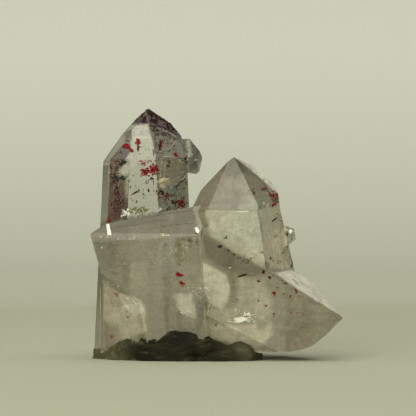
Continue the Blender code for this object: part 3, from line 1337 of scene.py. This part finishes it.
BRIGHT_REDS = (
    Scale(((136.1, 138.3), (139.4, 138.9), (140.2, 142.8), (138.3, 145.0), (136.7, 143.9))),
    Scale(((124.1, 143.9), (127.8, 143.5), (130.0, 145.6), (129.4, 148.9), (126.1, 148.7), (123.9, 146.7))),
    Scale(((129.2, 147.8), (131.7, 148.3), (133.7, 150.6), (132.8, 152.8), (130.0, 151.3))),
    Patch(145.8, 171.6, 4.6, 4.2, 52, 2.5, 0.7),
    Patch(154.0, 169.4, 4.2, 5.4, 54, 2.5, 0.7, 60),
    Patch(126.6, 145.8, 3.6, 3.0, 14, 2.4, 0.7),
    Patch(138.2, 141.5, 2.4, 3.4, 10, 2.2, 0.6, 70),
    Patch(143.5, 163.5, 3.4, 3.2, 12, 2.8, 0.5, 35),
    Patch(150.5, 161.5, 4.0, 0.9, 6, 2.6, 0.4, 5),
    Patch(154.0, 167.5, 2.6, 3.4, 8, 2.6, 0.7),
    Patch(157.0, 192.5, 3.2, 2.2, 7, 2.6, 0.6),
    Patch(166.5, 196.0, 3.4, 3.4, 9, 2.6, 0.6),
    Patch(181.5, 202.5, 3.2, 4.0, 18, 2.4, 0.7, 60),
    Scale(((174.2, 152.2), (176.0, 152.6), (178.6, 156.4), (176.1, 156.7), (174.0, 154.4))),
    Scale(((175.2, 273.5), (178.1, 271.9), (181.3, 274.0), (184.4, 275.0), (181.3, 276.9), (176.9, 276.3))),
    Patch(181.5, 283.0, 2.6, 2.4, 7, 2.8, 0.8),
    Patch(272.6, 194.2, 4.8, 3.8, 22, 2.0, 0.6, -40),
    Patch(275.8, 199.6, 3.6, 5.2, 26, 2.0, 0.6, 70),
    Patch(274.5, 205.5, 2.6, 4.4, 12, 2.0, 0.6, 60),
    Patch(263.8, 187.8, 2.4, 3.4, 9, 2.4, 0.5, 60),
    Scale(((271.6, 221.2), (274.0, 219.0), (275.0, 219.8), (272.4, 222.0))),
    Patch(276.8, 213.6, 0.6, 0.6, 2, 1.6),
    Patch(273.8, 292.6, 1.6, 1.6, 5, 2.8, 0.8),
    Patch(295.6, 290.4, 1.8, 2.0, 6, 2.6, 0.8, 60),
    Patch(265.8, 305.4, 1.6, 1.2, 4, 2.4, 0.6, 35),
    Patch(273.8, 314.6, 0.9, 2.0, 5, 2.2, 0.8),
    Patch(291.4, 312.8, 1.0, 0.7, 3, 1.9),
    Patch(297.2, 296.4, 1.0, 0.5, 2, 1.8, 0.5),
    Patch(109.0, 219.0, 2.2, 2.6, 8, 2.6, 0.6, 60),
)
REDS = (
    Scale(((137.2, 145.0), (139.1, 145.6), (138.9, 150.0), (137.8, 152.0), (136.8, 148.9))),
    Scale(((159.4, 139.4), (163.3, 140.0), (162.8, 142.8), (161.6, 144.4), (161.1, 147.8), (160.0, 151.1),
           (158.6, 148.9), (159.7, 144.4))),
    Patch(143.4, 193.0, 1.0, 5.0, 6, 2.2, 0.5, 85),
    Patch(148.5, 190.3, 1.8, 0.8, 3, 2.0, 0.5),
    Patch(147.0, 181.8, 1.8, 2.4, 5, 2.4, 0.4, 50),
    Patch(154.0, 181.8, 0.8, 1.8, 3, 2.0, 0.4, 75),
    Patch(168.5, 209.4, 1.8, 0.7, 4, 2.4, 0.5, 10),
    Patch(110.8, 166.5, 1.0, 4.0, 6, 2.4, 0.5, 80),
    Patch(114.5, 183.0, 4.0, 1.0, 7, 2.6, 0.35, 5),
    Patch(117.0, 192.0, 5.0, 6.0, 12, 2.4, 0.5, 80),
    Patch(115.0, 206.0, 4.5, 5.0, 9, 2.4, 0.5, 70),
    Patch(167.0, 160.5, 3.2, 1.2, 5, 2.2, 0.35, 25),
    Patch(252.0, 191.3, 3.6, 3.6, 12, 2.6, 0.32, 65),
    Patch(293.0, 262.5, 2.4, 4.6, 16, 2.4, 0.6, 60),
    Patch(263.8, 271.2, 1.8, 1.8, 5, 2.8, 0.6, 40),
    Patch(270.6, 276.3, 2.4, 2.8, 8, 2.6, 0.6, 40),
    Patch(258.8, 280.8, 1.8, 1.4, 4, 2.4, 0.5, 30),
    Patch(284.6, 283.4, 2.0, 0.7, 4, 2.0, 0.5),
    Patch(283.4, 294.0, 0.6, 0.6, 2, 1.9),
    Patch(290.2, 295.2, 0.6, 1.0, 2, 2.0),
    Patch(277.8, 287.8, 0.6, 0.6, 2, 1.6),
    Patch(297.5, 312.4, 1.6, 0.5, 3, 1.9, 0.4, 20),
    Patch(303.4, 314.0, 0.5, 0.8, 2, 1.5),
    Patch(286.5, 233.0, 1.6, 6.0, 10, 2.2, 0.5, 75),
    Patch(196.9, 240.5, 0.7, 4.0, 5, 2.0, 0.4, 85),
    Patch(164.8, 245.5, 0.9, 1.8, 3, 2.0, 0.4, 60),
    Patch(113.0, 172.0, 5.0, 8.0, 14, 2.0, 0.5, 20),
    Patch(116.0, 196.0, 4.0, 12.0, 16, 2.0, 0.5, 75),
    Patch(162.0, 198.0, 6.0, 5.0, 10, 2.0, 0.5, 20),
    Patch(175.0, 204.0, 3.0, 4.0, 8, 2.4, 0.5, 60),
    Patch(181.0, 203.0, 4.4, 5.0, 20, 2.2, 0.5, 60),
    Patch(150.0, 171.0, 7.0, 6.0, 16, 2.0, 0.5, 40),
    Patch(274.5, 197.5, 4.4, 6.4, 16, 2.0, 0.5, 60),
    Patch(127.5, 147.0, 5.0, 4.4, 12, 1.8, 0.5, 40),
    Patch(138.5, 146.0, 2.4, 5.0, 7, 1.8, 0.5, 80),
)
DARK_REDS = (
    Patch(144.0, 118.5, 3.0, 5.4, 26, 3.0, 0.5, 62),
    Patch(152.5, 113.5, 4.6, 3.4, 26, 3.0, 0.8),
    Patch(154.2, 120.4, 3.2, 3.8, 20, 3.0, 0.7),
    Patch(168.8, 124.6, 4.2, 3.4, 22, 3.0, 0.6, -35),
    Patch(172.8, 129.6, 5.0, 1.6, 16, 2.8, 0.4, -22),
    Patch(136.0, 121.5, 3.4, 3.4, 7, 2.6, 0.4, 50),
    Patch(160.5, 129.5, 8.0, 3.0, 8, 2.6, 0.35, -25),
    Patch(168.0, 137.0, 4.0, 3.5, 5, 2.4, 0.4, -30),
    Scale(((131.1, 194.6), (136.9, 190.5), (138.3, 192.0), (132.2, 195.0))),
    Patch(163.0, 191.5, 4.0, 2.6, 6, 2.6, 0.5, 30),
    Patch(185.6, 161.0, 1.6, 4.6, 12, 2.4, 0.5, 80),
    Patch(118.0, 199.0, 5.0, 12.0, 18, 2.6, 0.5, 75),
    Patch(118.5, 168.0, 5.0, 6.0, 10, 2.2, 0.5, 70),
    Patch(155.0, 131.0, 4.0, 5.0, 12, 2.4, 0.5, 70),
    Patch(164.0, 133.0, 7.0, 4.0, 14, 2.4, 0.4, -25),
    Patch(160.5, 146.0, 2.4, 7.0, 12, 2.4, 0.5, 80),
    Patch(172.0, 145.0, 7.0, 6.0, 12, 1.8, 0.5, 20),
    Patch(154.0, 152.0, 2.4, 8.0, 12, 1.8, 0.5, 80),
    Patch(169.5, 164.0, 2.4, 4.4, 8, 2.2, 0.5, 60),
    Patch(176.0, 198.0, 10.0, 8.0, 16, 1.8, 0.5, 30),
    Patch(133.0, 132.0, 4.0, 6.0, 7, 1.8, 0.4, 60),
    Patch(150.0, 160.0, 34.0, 44.0, 40, 1.4, 0.6, 30),
    Scale(((236.8, 276.9), (243.0, 274.2), (247.5, 273.6), (247.0, 275.2), (241.0, 276.8), (237.2, 277.8))),
    Patch(249.0, 259.5, 4.0, 2.2, 7, 2.0, 0.4, -30),
    Patch(292.0, 259.0, 2.0, 3.0, 5, 2.2, 0.5, 70),
    Patch(114.0, 182.0, 4.0, 10.0, 18, 2.0, 0.5, 75),
    Patch(150.0, 111.0, 5.0, 3.0, 20, 2.4, 0.6),
    Patch(163.0, 119.0, 7.0, 2.4, 18, 2.6, 0.5, -40),
    Patch(176.0, 204.0, 3.0, 4.0, 8, 2.2, 0.5, 60),
    Patch(190.5, 240.0, 2.4, 3.0, 10, 2.0, 0.4, 80),
    Patch(197.0, 241.0, 1.2, 4.0, 8, 2.0, 0.4, 80),
    Patch(263.3, 271.4, 2.0, 1.4, 8, 2.4, 0.6, -30),
    Patch(259.0, 281.0, 1.8, 1.2, 6, 2.2, 0.5, -30),
    Thread(((152.0, 111.5), (160.0, 117.5), (169.0, 124.0), (177.0, 131.5)), 1.0),
    Thread(((145.0, 112.0), (139.5, 117.0), (134.5, 122.5)), 1.0),
    Thread(((150.0, 126.5), (158.0, 125.5), (168.0, 129.0), (177.0, 135.0)), 0.7),
    Patch(156.0, 121.0, 6.0, 5.0, 16, 2.2, 0.4, -35),
    Patch(142.0, 121.0, 4.0, 3.0, 10, 2.0, 0.4, 45),
    Patch(118.0, 162.0, 5.0, 3.0, 8, 2.0, 0.5, 20),
)
PINKS = (
    Patch(113.8, 161.5, 1.8, 1.0, 4, 2.4, 0.5),
    Patch(164.4, 201.9, 1.4, 1.2, 3, 2.2),
    Patch(150.0, 195.0, 0.8, 1.0, 2, 1.6),
    Patch(190.5, 241.5, 3.0, 4.6, 10, 2.4, 0.35, 80),
    Patch(182.5, 286.0, 2.6, 1.6, 4, 2.4, 0.6),
    Patch(116.2, 294.0, 2.0, 2.0, 6, 2.4, 0.8),
    Patch(111.0, 336.5, 2.6, 2.6, 6, 2.4, 0.8),
    Patch(270.0, 183.5, 6.0, 5.0, 16, 1.7, 0.6, 40),
    Patch(283.0, 219.0, 1.8, 2.4, 6, 2.2, 0.6),
    Patch(275.2, 236.4, 1.6, 1.0, 4, 2.2, 0.6),
    Patch(262.0, 252.4, 1.6, 1.2, 4, 2.2, 0.6),
    Patch(257.6, 300.0, 2.6, 1.6, 5, 2.2, 0.4, -30),
    Patch(214.0, 309.0, 7.0, 1.6, 8, 2.2, 0.4),
    Patch(215.0, 325.5, 1.4, 2.2, 4, 2.0, 0.6),
    Patch(284.0, 300.0, 16.0, 8.0, 12, 1.4, 0.7),
    Patch(278.0, 262.0, 10.0, 5.0, 10, 1.5, 0.6),
)
BLACK_GREENS = (
    Patch(123.6, 146.6, 1.5, 1.2, 4, 2.2, 0.6),
    Patch(121.4, 152.4, 1.9, 2.0, 5, 2.4, 0.35, 30),
    Patch(123.6, 163.2, 4.6, 2.4, 18, 3.0, 0.55, -5),
    Patch(115.0, 173.2, 0.9, 1.0, 3, 1.8),
    Patch(115.8, 178.4, 4.4, 2.8, 18, 3.0, 0.6),
    Patch(123.6, 178.0, 4.4, 2.6, 18, 3.0, 0.55),
    Patch(139.0, 191.4, 1.1, 1.6, 4, 2.2, 0.7, 60),
    Patch(151.6, 178.4, 1.6, 1.6, 5, 2.4, 0.6, 20),
    Patch(161.4, 191.8, 2.8, 2.4, 7, 2.8, 0.6, 30),
    Patch(156.4, 135.0, 2.4, 1.8, 6, 2.2, 0.5),
    Patch(153.4, 153.0, 1.6, 4.0, 8, 2.0, 0.5, 70),
    Patch(166.0, 143.0, 5.0, 4.0, 8, 1.8, 0.5, 40),
    Patch(170.0, 200.0, 8.0, 7.0, 18, 2.0, 0.5, 40),
    Patch(184.0, 190.0, 4.0, 8.0, 10, 1.8, 0.5, 70),
    Patch(192.0, 152.0, 4.0, 10.0, 10, 1.8, 0.5, 60),
    Patch(120.0, 185.0, 5.0, 18.0, 14, 1.6, 0.5, 70),
    Patch(206.8, 226.0, 1.3, 0.9, 3, 1.8, 0.5, -20),
    Patch(225.4, 237.0, 1.8, 2.0, 5, 2.2, 0.5, -50),
    Patch(220.6, 246.6, 2.6, 2.0, 7, 2.6, 0.7),
    Patch(234.2, 255.0, 1.8, 1.8, 6, 2.0, 0.6, -30),
    Patch(238.8, 257.4, 1.5, 1.7, 5, 2.0, 0.6, -40),
    Patch(243.8, 260.4, 1.2, 1.3, 4, 1.8, 0.6, -30),
    Scale(((274.2, 218.9), (276.9, 217.2), (277.3, 218.2), (275.2, 219.8))),
    Patch(283.0, 252.8, 1.1, 1.1, 3, 1.8, 0.5, 40),
    Patch(270.8, 258.4, 1.8, 1.4, 5, 1.8, 0.5, 30),
    Patch(237.5, 299.2, 2.2, 1.4, 5, 1.9, 0.4, 35),
    Patch(242.0, 275.0, 4.0, 1.0, 4, 2.4, 0.35, 20),
    Patch(197.2, 233.6, 1.6, 0.5, 3, 2.0, 0.4),
    Patch(126.6, 312.4, 0.9, 1.0, 3, 1.6),
    Patch(128.0, 316.6, 1.0, 1.2, 3, 1.6),
    Patch(318.0, 305.0, 12.0, 5.0, 9, 1.2, 0.6),
    Patch(228.0, 250.5, 3.0, 1.2, 7, 2.0, 0.5, -30),
    Patch(247.5, 262.5, 2.4, 1.2, 6, 1.8, 0.5, -30),
    Patch(112.0, 284.0, 9.0, 6.0, 12, 1.8, 0.25, 20),
    Patch(128.0, 243.0, 14.0, 7.0, 12, 1.6, 0.25, 20),
    Patch(182.0, 258.0, 8.0, 16.0, 12, 2.0, 0.25, 75),
    Patch(205.0, 300.0, 6.0, 8.0, 18, 1.2, 0.5, 60),
    Patch(194.0, 150.0, 2.6, 8.0, 14, 1.4, 0.5, 60),
    Patch(292.0, 237.0, 2.0, 3.0, 8, 1.4, 0.5, 60),
    Patch(240.0, 225.0, 26.0, 16.0, 22, 0.9, 0.5, 30),
    Patch(149.5, 112.5, 2.4, 2.4, 9, 1.8, 0.6),
    Patch(158.0, 131.0, 4.0, 3.0, 9, 2.0, 0.4, -30),
    Patch(156.5, 143.0, 2.4, 4.0, 7, 1.8, 0.5, 70),
    Patch(164.0, 152.0, 6.0, 3.0, 10, 1.8, 0.4, 20),
    Patch(128.0, 140.0, 3.0, 5.0, 7, 1.8, 0.4, 60),
    Patch(184.0, 204.0, 5.0, 3.0, 9, 1.8, 0.5, 20),
)
CREAMS = (
    Patch(164.0, 183.0, 6.4, 4.4, 60, 2.6, 0.7),
    Patch(164.5, 235.0, 5.6, 1.4, 9, 2.6, 0.5),
    Patch(267.2, 204.6, 3.8, 2.6, 7, 2.4, 0.6, 30),
    Patch(108.0, 236.5, 10.0, 1.6, 9, 2.2, 0.3),
    Patch(134.0, 240.0, 16.0, 3.0, 8, 1.8, 0.3),
)
OLIVES = (
    Patch(139.5, 210.0, 10.0, 3.6, 60, 2.3, 0.6, 60),
    Patch(181.0, 249.0, 4.4, 9.0, 8, 1.8, 0.5, 70),
    Patch(140.5, 153.4, 1.8, 1.2, 3, 1.8, 0.5),
    Patch(170.0, 209.0, 4.0, 2.0, 8, 2.0, 0.5, 50),
    Thread(((288.0, 330.0), (293.0, 335.0), (296.0, 337.0)), 0.5),
    Thread(((270.0, 343.0), (274.0, 349.0)), 0.5),
    Thread(((292.0, 278.5), (298.5, 284.0)), 0.5),
    Patch(163.0, 141.0, 3.0, 3.0, 7, 1.6, 0.5, 30),
    Patch(160.0, 150.0, 2.0, 2.0, 5, 1.6, 0.5, 30),
    Patch(178.0, 208.0, 6.0, 1.6, 9, 1.8, 0.5, 10),
    Thread(((106.0, 228.6), (128.0, 225.4), (150.0, 221.8), (170.0, 218.8)), 0.28),
    Thread(((132.0, 219.6), (150.0, 216.6), (176.0, 212.4), (192.0, 209.8)), 0.28),
    Thread(((150.0, 228.4), (172.0, 225.0), (194.0, 222.6)), 0.28),
)
PALES = (
    Thread(((115.0, 172.6), (126.0, 170.0), (140.0, 165.6)), 0.45),
    Thread(((121.0, 171.4), (132.0, 167.8), (141.0, 164.6)), 0.35),
    Thread(((172.8, 186.1), (179.4, 182.8), (184.0, 178.0), (187.2, 173.0)), 0.6),
    Thread(((160.5, 159.5), (164.0, 157.0), (170.0, 156.2), (181.0, 160.5)), 0.4),
    Thread(((187.0, 287.8), (211.0, 287.8)), 0.35),
    Thread(((192.0, 290.0), (198.0, 295.0), (206.0, 300.5), (210.0, 302.0), (208.0, 312.0),
         (204.5, 319.0)), 0.4),
    Thread(((177.5, 307.0), (186.0, 314.0), (195.5, 319.0)), 0.6),
    Thread(((133.5, 299.5), (140.5, 303.0), (142.8, 309.5)), 0.7),
    Thread(((100.4, 288.0), (100.0, 344.0)), 0.4),
    Patch(132.0, 172.0, 14.0, 6.0, 14, 1.6, 0.3, 15),
    Patch(146.0, 172.0, 8.0, 6.0, 12, 1.2, 0.5, 20),
    Patch(182.0, 190.5, 3.4, 1.8, 5, 1.6, 0.4, -15),
    Patch(247.0, 316.0, 18.0, 8.0, 60, 1.5, 0.4, 20),
    Patch(216.0, 300.0, 16.0, 10.0, 24, 1.3, 0.4, 40),
    Patch(266.0, 334.0, 14.0, 8.0, 22, 1.5, 0.4, 30),
    Patch(196.0, 292.0, 7.0, 8.0, 14, 2.4, 0.2, 30),
    Patch(137.0, 303.0, 8.0, 6.0, 12, 2.4, 0.2, -50),
    Patch(168.0, 256.0, 8.0, 16.0, 10, 2.4, 0.2, 70),
    Patch(230.0, 230.0, 20.0, 16.0, 12, 1.8, 0.25, 20),
    Patch(110.0, 285.0, 9.0, 7.0, 16, 2.2, 0.2, 30),
    Patch(183.0, 252.0, 7.0, 12.0, 12, 2.8, 0.2, 78),
    Patch(256.0, 298.0, 10.0, 14.0, 22, 2.0, 0.2, 84),
    Patch(196.0, 160.0, 2.0, 6.0, 9, 1.6, 0.5, 80),
    Patch(120.0, 318.0, 14.0, 14.0, 16, 1.8, 0.2, 40),
    Patch(224.0, 226.0, 22.0, 12.0, 22, 2.2, 0.2, -32),
    Patch(274.0, 205.0, 8.0, 20.0, 18, 2.0, 0.2, 60),
    Patch(250.0, 332.0, 26.0, 8.0, 20, 2.2, 0.2, 20),
    Thread(((156.0, 150.0), (162.0, 152.0), (170.0, 148.0), (176.0, 141.0)), 0.35),
    Thread(((158.0, 128.0), (167.0, 131.5), (176.0, 136.5)), 0.35),
    Thread(((126.0, 132.0), (133.0, 125.5), (141.0, 124.0)), 0.4),
)
# Painted highlights: white plates for glints and sparkles on faces, edges and fractures, with a few white
# mineral specks among them.
PAINTED_GLINTS = (
    Scale(((105.3, 222.3), (109.4, 221.5), (111.6, 234.8), (107.5, 235.3))),
    Scale(((194.6, 228.0), (197.0, 226.6), (199.6, 230.6), (198.4, 233.6), (195.8, 231.8))),
    Scale(((187.2, 166.0), (188.6, 165.5), (190.2, 170.0), (188.4, 171.4), (187.4, 169.5))),
    Thread(((236.7, 211.4), (242.0, 211.9), (248.3, 210.9)), 0.8),
    Patch(207.5, 287.9, 4.0, 0.6, 7, 1.6, 0.4),
    Thread(((229.0, 267.5), (230.5, 267.8)), 0.8),
    Scale(((235.8, 320.2), (240.0, 316.8), (246.0, 317.4), (247.0, 320.0), (243.0, 321.4), (238.0, 323.0))),
    Patch(239.5, 320.0, 4.4, 2.4, 26, 2.4, 0.6, 15),
    Patch(247.0, 314.5, 4.4, 4.0, 26, 1.9, 0.6, 35),
    Patch(250.0, 320.0, 9.0, 2.4, 18, 2.6, 0.2, 12),
    Patch(238.0, 312.0, 6.0, 3.4, 7, 2.0, 0.25, 20),
    Patch(124.5, 213.0, 3.6, 4.4, 26, 2.0, 0.5, 60),
    Patch(160.0, 209.4, 2.2, 2.2, 6, 2.2, 0.4, 45),
    Patch(102.0, 247.8, 0.5, 0.6, 2, 1.4),
    Scale(((288.6, 230.5), (290.8, 228.8), (293.2, 231.5), (290.0, 233.6))),
    Patch(201.0, 288.0, 8.0, 4.0, 12, 2.2, 0.2, 20),
    Patch(187.0, 312.0, 8.0, 3.0, 9, 2.4, 0.2, -38),
    Patch(133.0, 301.0, 8.0, 3.0, 8, 2.2, 0.2, -30),
    Patch(127.5, 213.0, 5.0, 3.6, 26, 2.0, 0.5, 60),
    Patch(166.0, 185.5, 5.0, 3.0, 14, 1.4, 0.6),
    Patch(188.4, 158.0, 0.8, 8.0, 10, 1.3, 0.4, 80),
    Patch(234.0, 321.0, 8.0, 2.4, 12, 2.2, 0.2, 10),
)
# The upright lines through the tall point and the right point, as x and y in millimetres.
TALL = (-12.0, 1.5)
RIGHT = (3.5, 0.5)
LAYERS = (
    FleckLayer("bright_red_flecks", Shade.BRIGHT_RED, BRIGHT_REDS, 11,
               (Sprinkle(46, 0.5, 26.0, 43.0, TALL), Sprinkle(26, 0.42, 22.0, 33.0, RIGHT)), proud=0.035),
    FleckLayer("red_flecks", Shade.RED, REDS, 12,
               (Sprinkle(40, 0.5, 18.0, 44.0, TALL), Sprinkle(34, 0.4, 10.0, 34.0, RIGHT)), proud=0.025),
    FleckLayer("dark_red_flecks", Shade.DARK_RED, DARK_REDS, 13,
               (Sprinkle(50, 0.55, 30.0, 44.5, TALL), Sprinkle(16, 0.45, 20.0, 33.0, RIGHT)), proud=0.015),
    FleckLayer("pink_flecks", Shade.PINK, PINKS, 14, proud=0.02),
    FleckLayer("black_green_specks", Shade.BLACK_GREEN, BLACK_GREENS, 15,
               (Sprinkle(40, 0.5, 14.0, 42.0, TALL), Sprinkle(24, 0.36, 8.0, 30.0, RIGHT)), proud=0.03),
    FleckLayer("cream_grains", Shade.CREAM, CREAMS, 16, proud=0.025, shadow=0.6),
    FleckLayer("olive_grains", Shade.OLIVE, OLIVES, 17, proud=0.025),
    FleckLayer("pale_veins", Shade.PALE, PALES, 19, proud=0.02, shadow=0.6),
    # Painted highlights: the white glint plates.
    FleckLayer("white_glints", Shade.WHITE, PAINTED_GLINTS, 18, proud=0.035, shadow=0.85),
)


@dataclass
class MatrixRock:
    """The rock under the crystals: the CAD lump with folds, pits and grit, closed up against the crystals.

    Attributes:
        voxel: width of the even mesh's cells in millimetres.
        fold: depth of the creases.
        band: distance between them.
        sharpness: how narrow they are.
        sunk: how far the whole surface lies inside the CAD lump.
        swell: height of the broad swellings.
        grit: height of the grit.
        closed_up: how far the rock comes out where it meets the crystals.
        meeting: how near to the crystals that is.
        foot: height up to which the flat foot stays as it is.
    """

    voxel: float = 0.2
    fold: float = 0.45
    band: float = 1.9
    sharpness: float = 3.0
    sunk: float = 0.22
    swell: float = 0.3
    grit: float = 0.05
    closed_up: float = 0.45
    meeting: float = 0.9
    foot: float = 0.25

    def build(self, crystals: BVHTree) -> bpy.types.Object:
        """Builds, dresses and rides the rock.

        Args:
            crystals: the crystals' faces.

        Returns:
            The piece.
        """
        mesh = mesh_from("matrix_rock_folded", node_mesh(ROCK_NODE))
        piece = add_object("matrix_rock_folded", mesh, RockFinish().material())
        remesh = piece.modifiers.new("even", "REMESH")
        remesh.mode = "VOXEL"
        remesh.voxel_size = self.voxel * MM
        bpy.context.view_layer.update()
        graph = bpy.context.evaluated_depsgraph_get()
        even = bpy.data.meshes.new_from_object(piece.evaluated_get(graph))
        piece.modifiers.clear()
        piece.data = even
        low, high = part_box(ROCK_NODE)
        normals = [vertex.normal.copy() for vertex in even.vertices]
        for vertex, normal in zip(even.vertices, normals):
            vertex.co = self._worked(vertex.co.copy(), normal, crystals, low, high)
        for polygon in even.polygons:
            polygon.use_smooth = True
        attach(piece, BODY)
        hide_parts(ROCK_NODE)
        return piece

    def _worked(self, at: Vector, normal: Vector, crystals: BVHTree, low: Vector, high: Vector) -> Vector:
        """Where a point of the smooth lump ends up.

        Args:
            at: the point, in metres.
            normal: the surface's direction there.
            crystals: the crystals' faces.
            low: lowest corner of the rock's box.
            high: its highest corner.

        Returns:
            The moved point, inside the box.
        """
        spot = at / MM
        if spot.z < self.foot and normal.z < -0.5:
            return at
        _, _, _, gap = crystals.find_nearest(at)
        near = max(0.0, 1.0 - (gap / MM) / self.meeting)
        sway = 5.0 * noise.noise(Vector((spot.x * 0.11, spot.y * 0.11, spot.z * 0.12 + 1.7)))
        phase = (spot.z * 0.8 + sway - 0.1 * spot.x + 0.5 * noise.noise(spot * 0.4)) / self.band
        crease = 1.0 - min(1.0, abs(2.0 * (phase - math.floor(phase)) - 1.0) * self.sharpness)
        depth = max(0.0, 0.4 + noise.noise(Vector((spot.x * 0.3, spot.y * 0.3, spot.z * 0.3 + 7.0))) * 1.6)
        broad = noise.noise(Vector((spot.x * 0.3, spot.y * 0.3, spot.z * 0.5)))
        grit = noise.fractal(spot * 1.3, 0.8, 2.1, 3)
        move = -self.fold * crease * depth + self.swell * broad - self.sunk - self.grit * abs(grit)
        move = move + self.closed_up * near
        placed = at + normal * move * MM
        for axis in range(3):
            placed[axis] = min(max(placed[axis], low[axis]), high[axis])
        return placed


@dataclass
class Studio:
    """The pale sweep, the light and the camera.

    Attributes:
        floor_radius: radius of the flat floor in millimetres.
        wall_radius: radius of the wall.
        wall_height: its height.
        steps: rings between the floor and the wall's top.
        around: points in each ring.
        dim_colour: colour of the even light from all round.
        dim_strength: its strength.
        panel_colour: colour of the panels' light.
        nearest: nearest distance that the camera shows, in metres.
        farthest: farthest distance that it shows.
    """

    floor_radius: float = 700.0
    wall_radius: float = 1500.0
    wall_height: float = 1300.0
    steps: int = 24
    around: int = 96
    dim_colour: Colour = (1.0, 0.995, 0.98)
    dim_strength: float = 0.92
    panel_colour: Colour = (1.0, 0.975, 0.89)
    nearest: float = 0.01
    farthest: float = 20.0

    def build(self) -> None:
        """Builds the stage, the lights and the camera."""
        self._sweep()
        self._world()
        self._panel("overhead_panel", (-200.0, -300.0, 900.0), (0.0, 0.0, 15.0), size=900.0, power=3.0)
        self._panel("front_panel", (-350.0, -1000.0, 260.0), (0.0, 0.0, 20.0), size=700.0, power=10.0)
        self._camera()

    def _sweep(self) -> None:
        """A bowl: flat floor in the middle, rising smoothly into a round wall."""
        made = bmesh.new()
        profile = [(0.0, 0.0), (self.floor_radius * 0.5, 0.0), (self.floor_radius, 0.0)]
        for k in range(1, self.steps + 1):
            angle = 0.5 * math.pi * k / self.steps
            radius = self.floor_radius + (self.wall_radius - self.floor_radius) * math.sin(angle)
            profile.append((radius, self.wall_height * (1.0 - math.cos(angle))))
        turns = [2.0 * math.pi * k / self.around for k in range(self.around)]
        previous: list[bmesh.types.BMVert] = []
        for radius, height in profile:
            spots = [Vector((radius * math.cos(turn), radius * math.sin(turn), height)) for turn in turns]
            ring = [made.verts.new(spot * MM) for spot in (spots if radius else spots[:1])]
            for k in range(self.around if previous else 0):
                after = (k + 1) % self.around
                inner = (previous[0],) if len(previous) == 1 else (previous[after], previous[k])
                made.faces.new((ring[k], ring[after]) + inner)
            previous = ring
        mesh = mesh_from("studio_sweep", made)
        for polygon in mesh.polygons:
            polygon.use_smooth = True
        add_object("studio_sweep", mesh, StudioFinish().material())

    def _world(self) -> None:
        """Dim, even light from all round."""
        world = bpy.data.worlds.new("studio_light")
        world.use_nodes = True
        background = world.node_tree.nodes["Background"]
        background.inputs["Color"].default_value = (*self.dim_colour, 1.0)
        background.inputs["Strength"].default_value = self.dim_strength
        bpy.context.scene.world = world

    def _panel(
        self, name: str, stand: Sequence[float], aim: Sequence[float], size: float, power: float
    ) -> None:
        """One square light panel.

        Args:
            name: its name.
            stand: where it stands, in millimetres.
            aim: the point that it faces.
            size: its width in millimetres.
            power: its power in watts.
        """
        light = bpy.data.lights.new(name, "AREA")
        light.shape = "SQUARE"
        light.size = size * MM
        light.energy = power
        light.color = self.panel_colour
        lamp = bpy.data.objects.new(name, light)
        lamp.location = Vector(stand) * MM
        lamp.rotation_euler = (Vector(aim) - Vector(stand)).to_track_quat("-Z", "Y").to_euler()
        bpy.context.scene.collection.objects.link(lamp)

    def _camera(self) -> None:
        """The camera that sees the object as the picture does."""
        camera = bpy.data.cameras.new("camera")
        camera.sensor_width = VIEW.sensor
        camera.lens = VIEW.lens
        camera.clip_start = self.nearest
        camera.clip_end = self.farthest
        stand = bpy.data.objects.new("camera", camera)
        stand.location = Vector(VIEW.stand) * MM
        stand.rotation_euler = (math.radians(90.0), 0.0, 0.0)
        bpy.context.scene.collection.objects.link(stand)
        bpy.context.scene.camera = stand
        bpy.context.scene.view_settings.view_transform = "Standard"


def main() -> None:
    """Builds every piece, then the studio."""
    logging.basicConfig(level=logging.INFO)
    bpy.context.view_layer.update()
    cluster = CrystalCluster()
    LOG.info("built %s", cluster.build().name)
    for layer in LAYERS:
        LOG.info("built %s", layer.build(cluster.solid).name)
    LOG.info("built %s", MatrixRock().build(cluster.solid).name)
    Studio().build()


if __name__ == "__main__":
    main()
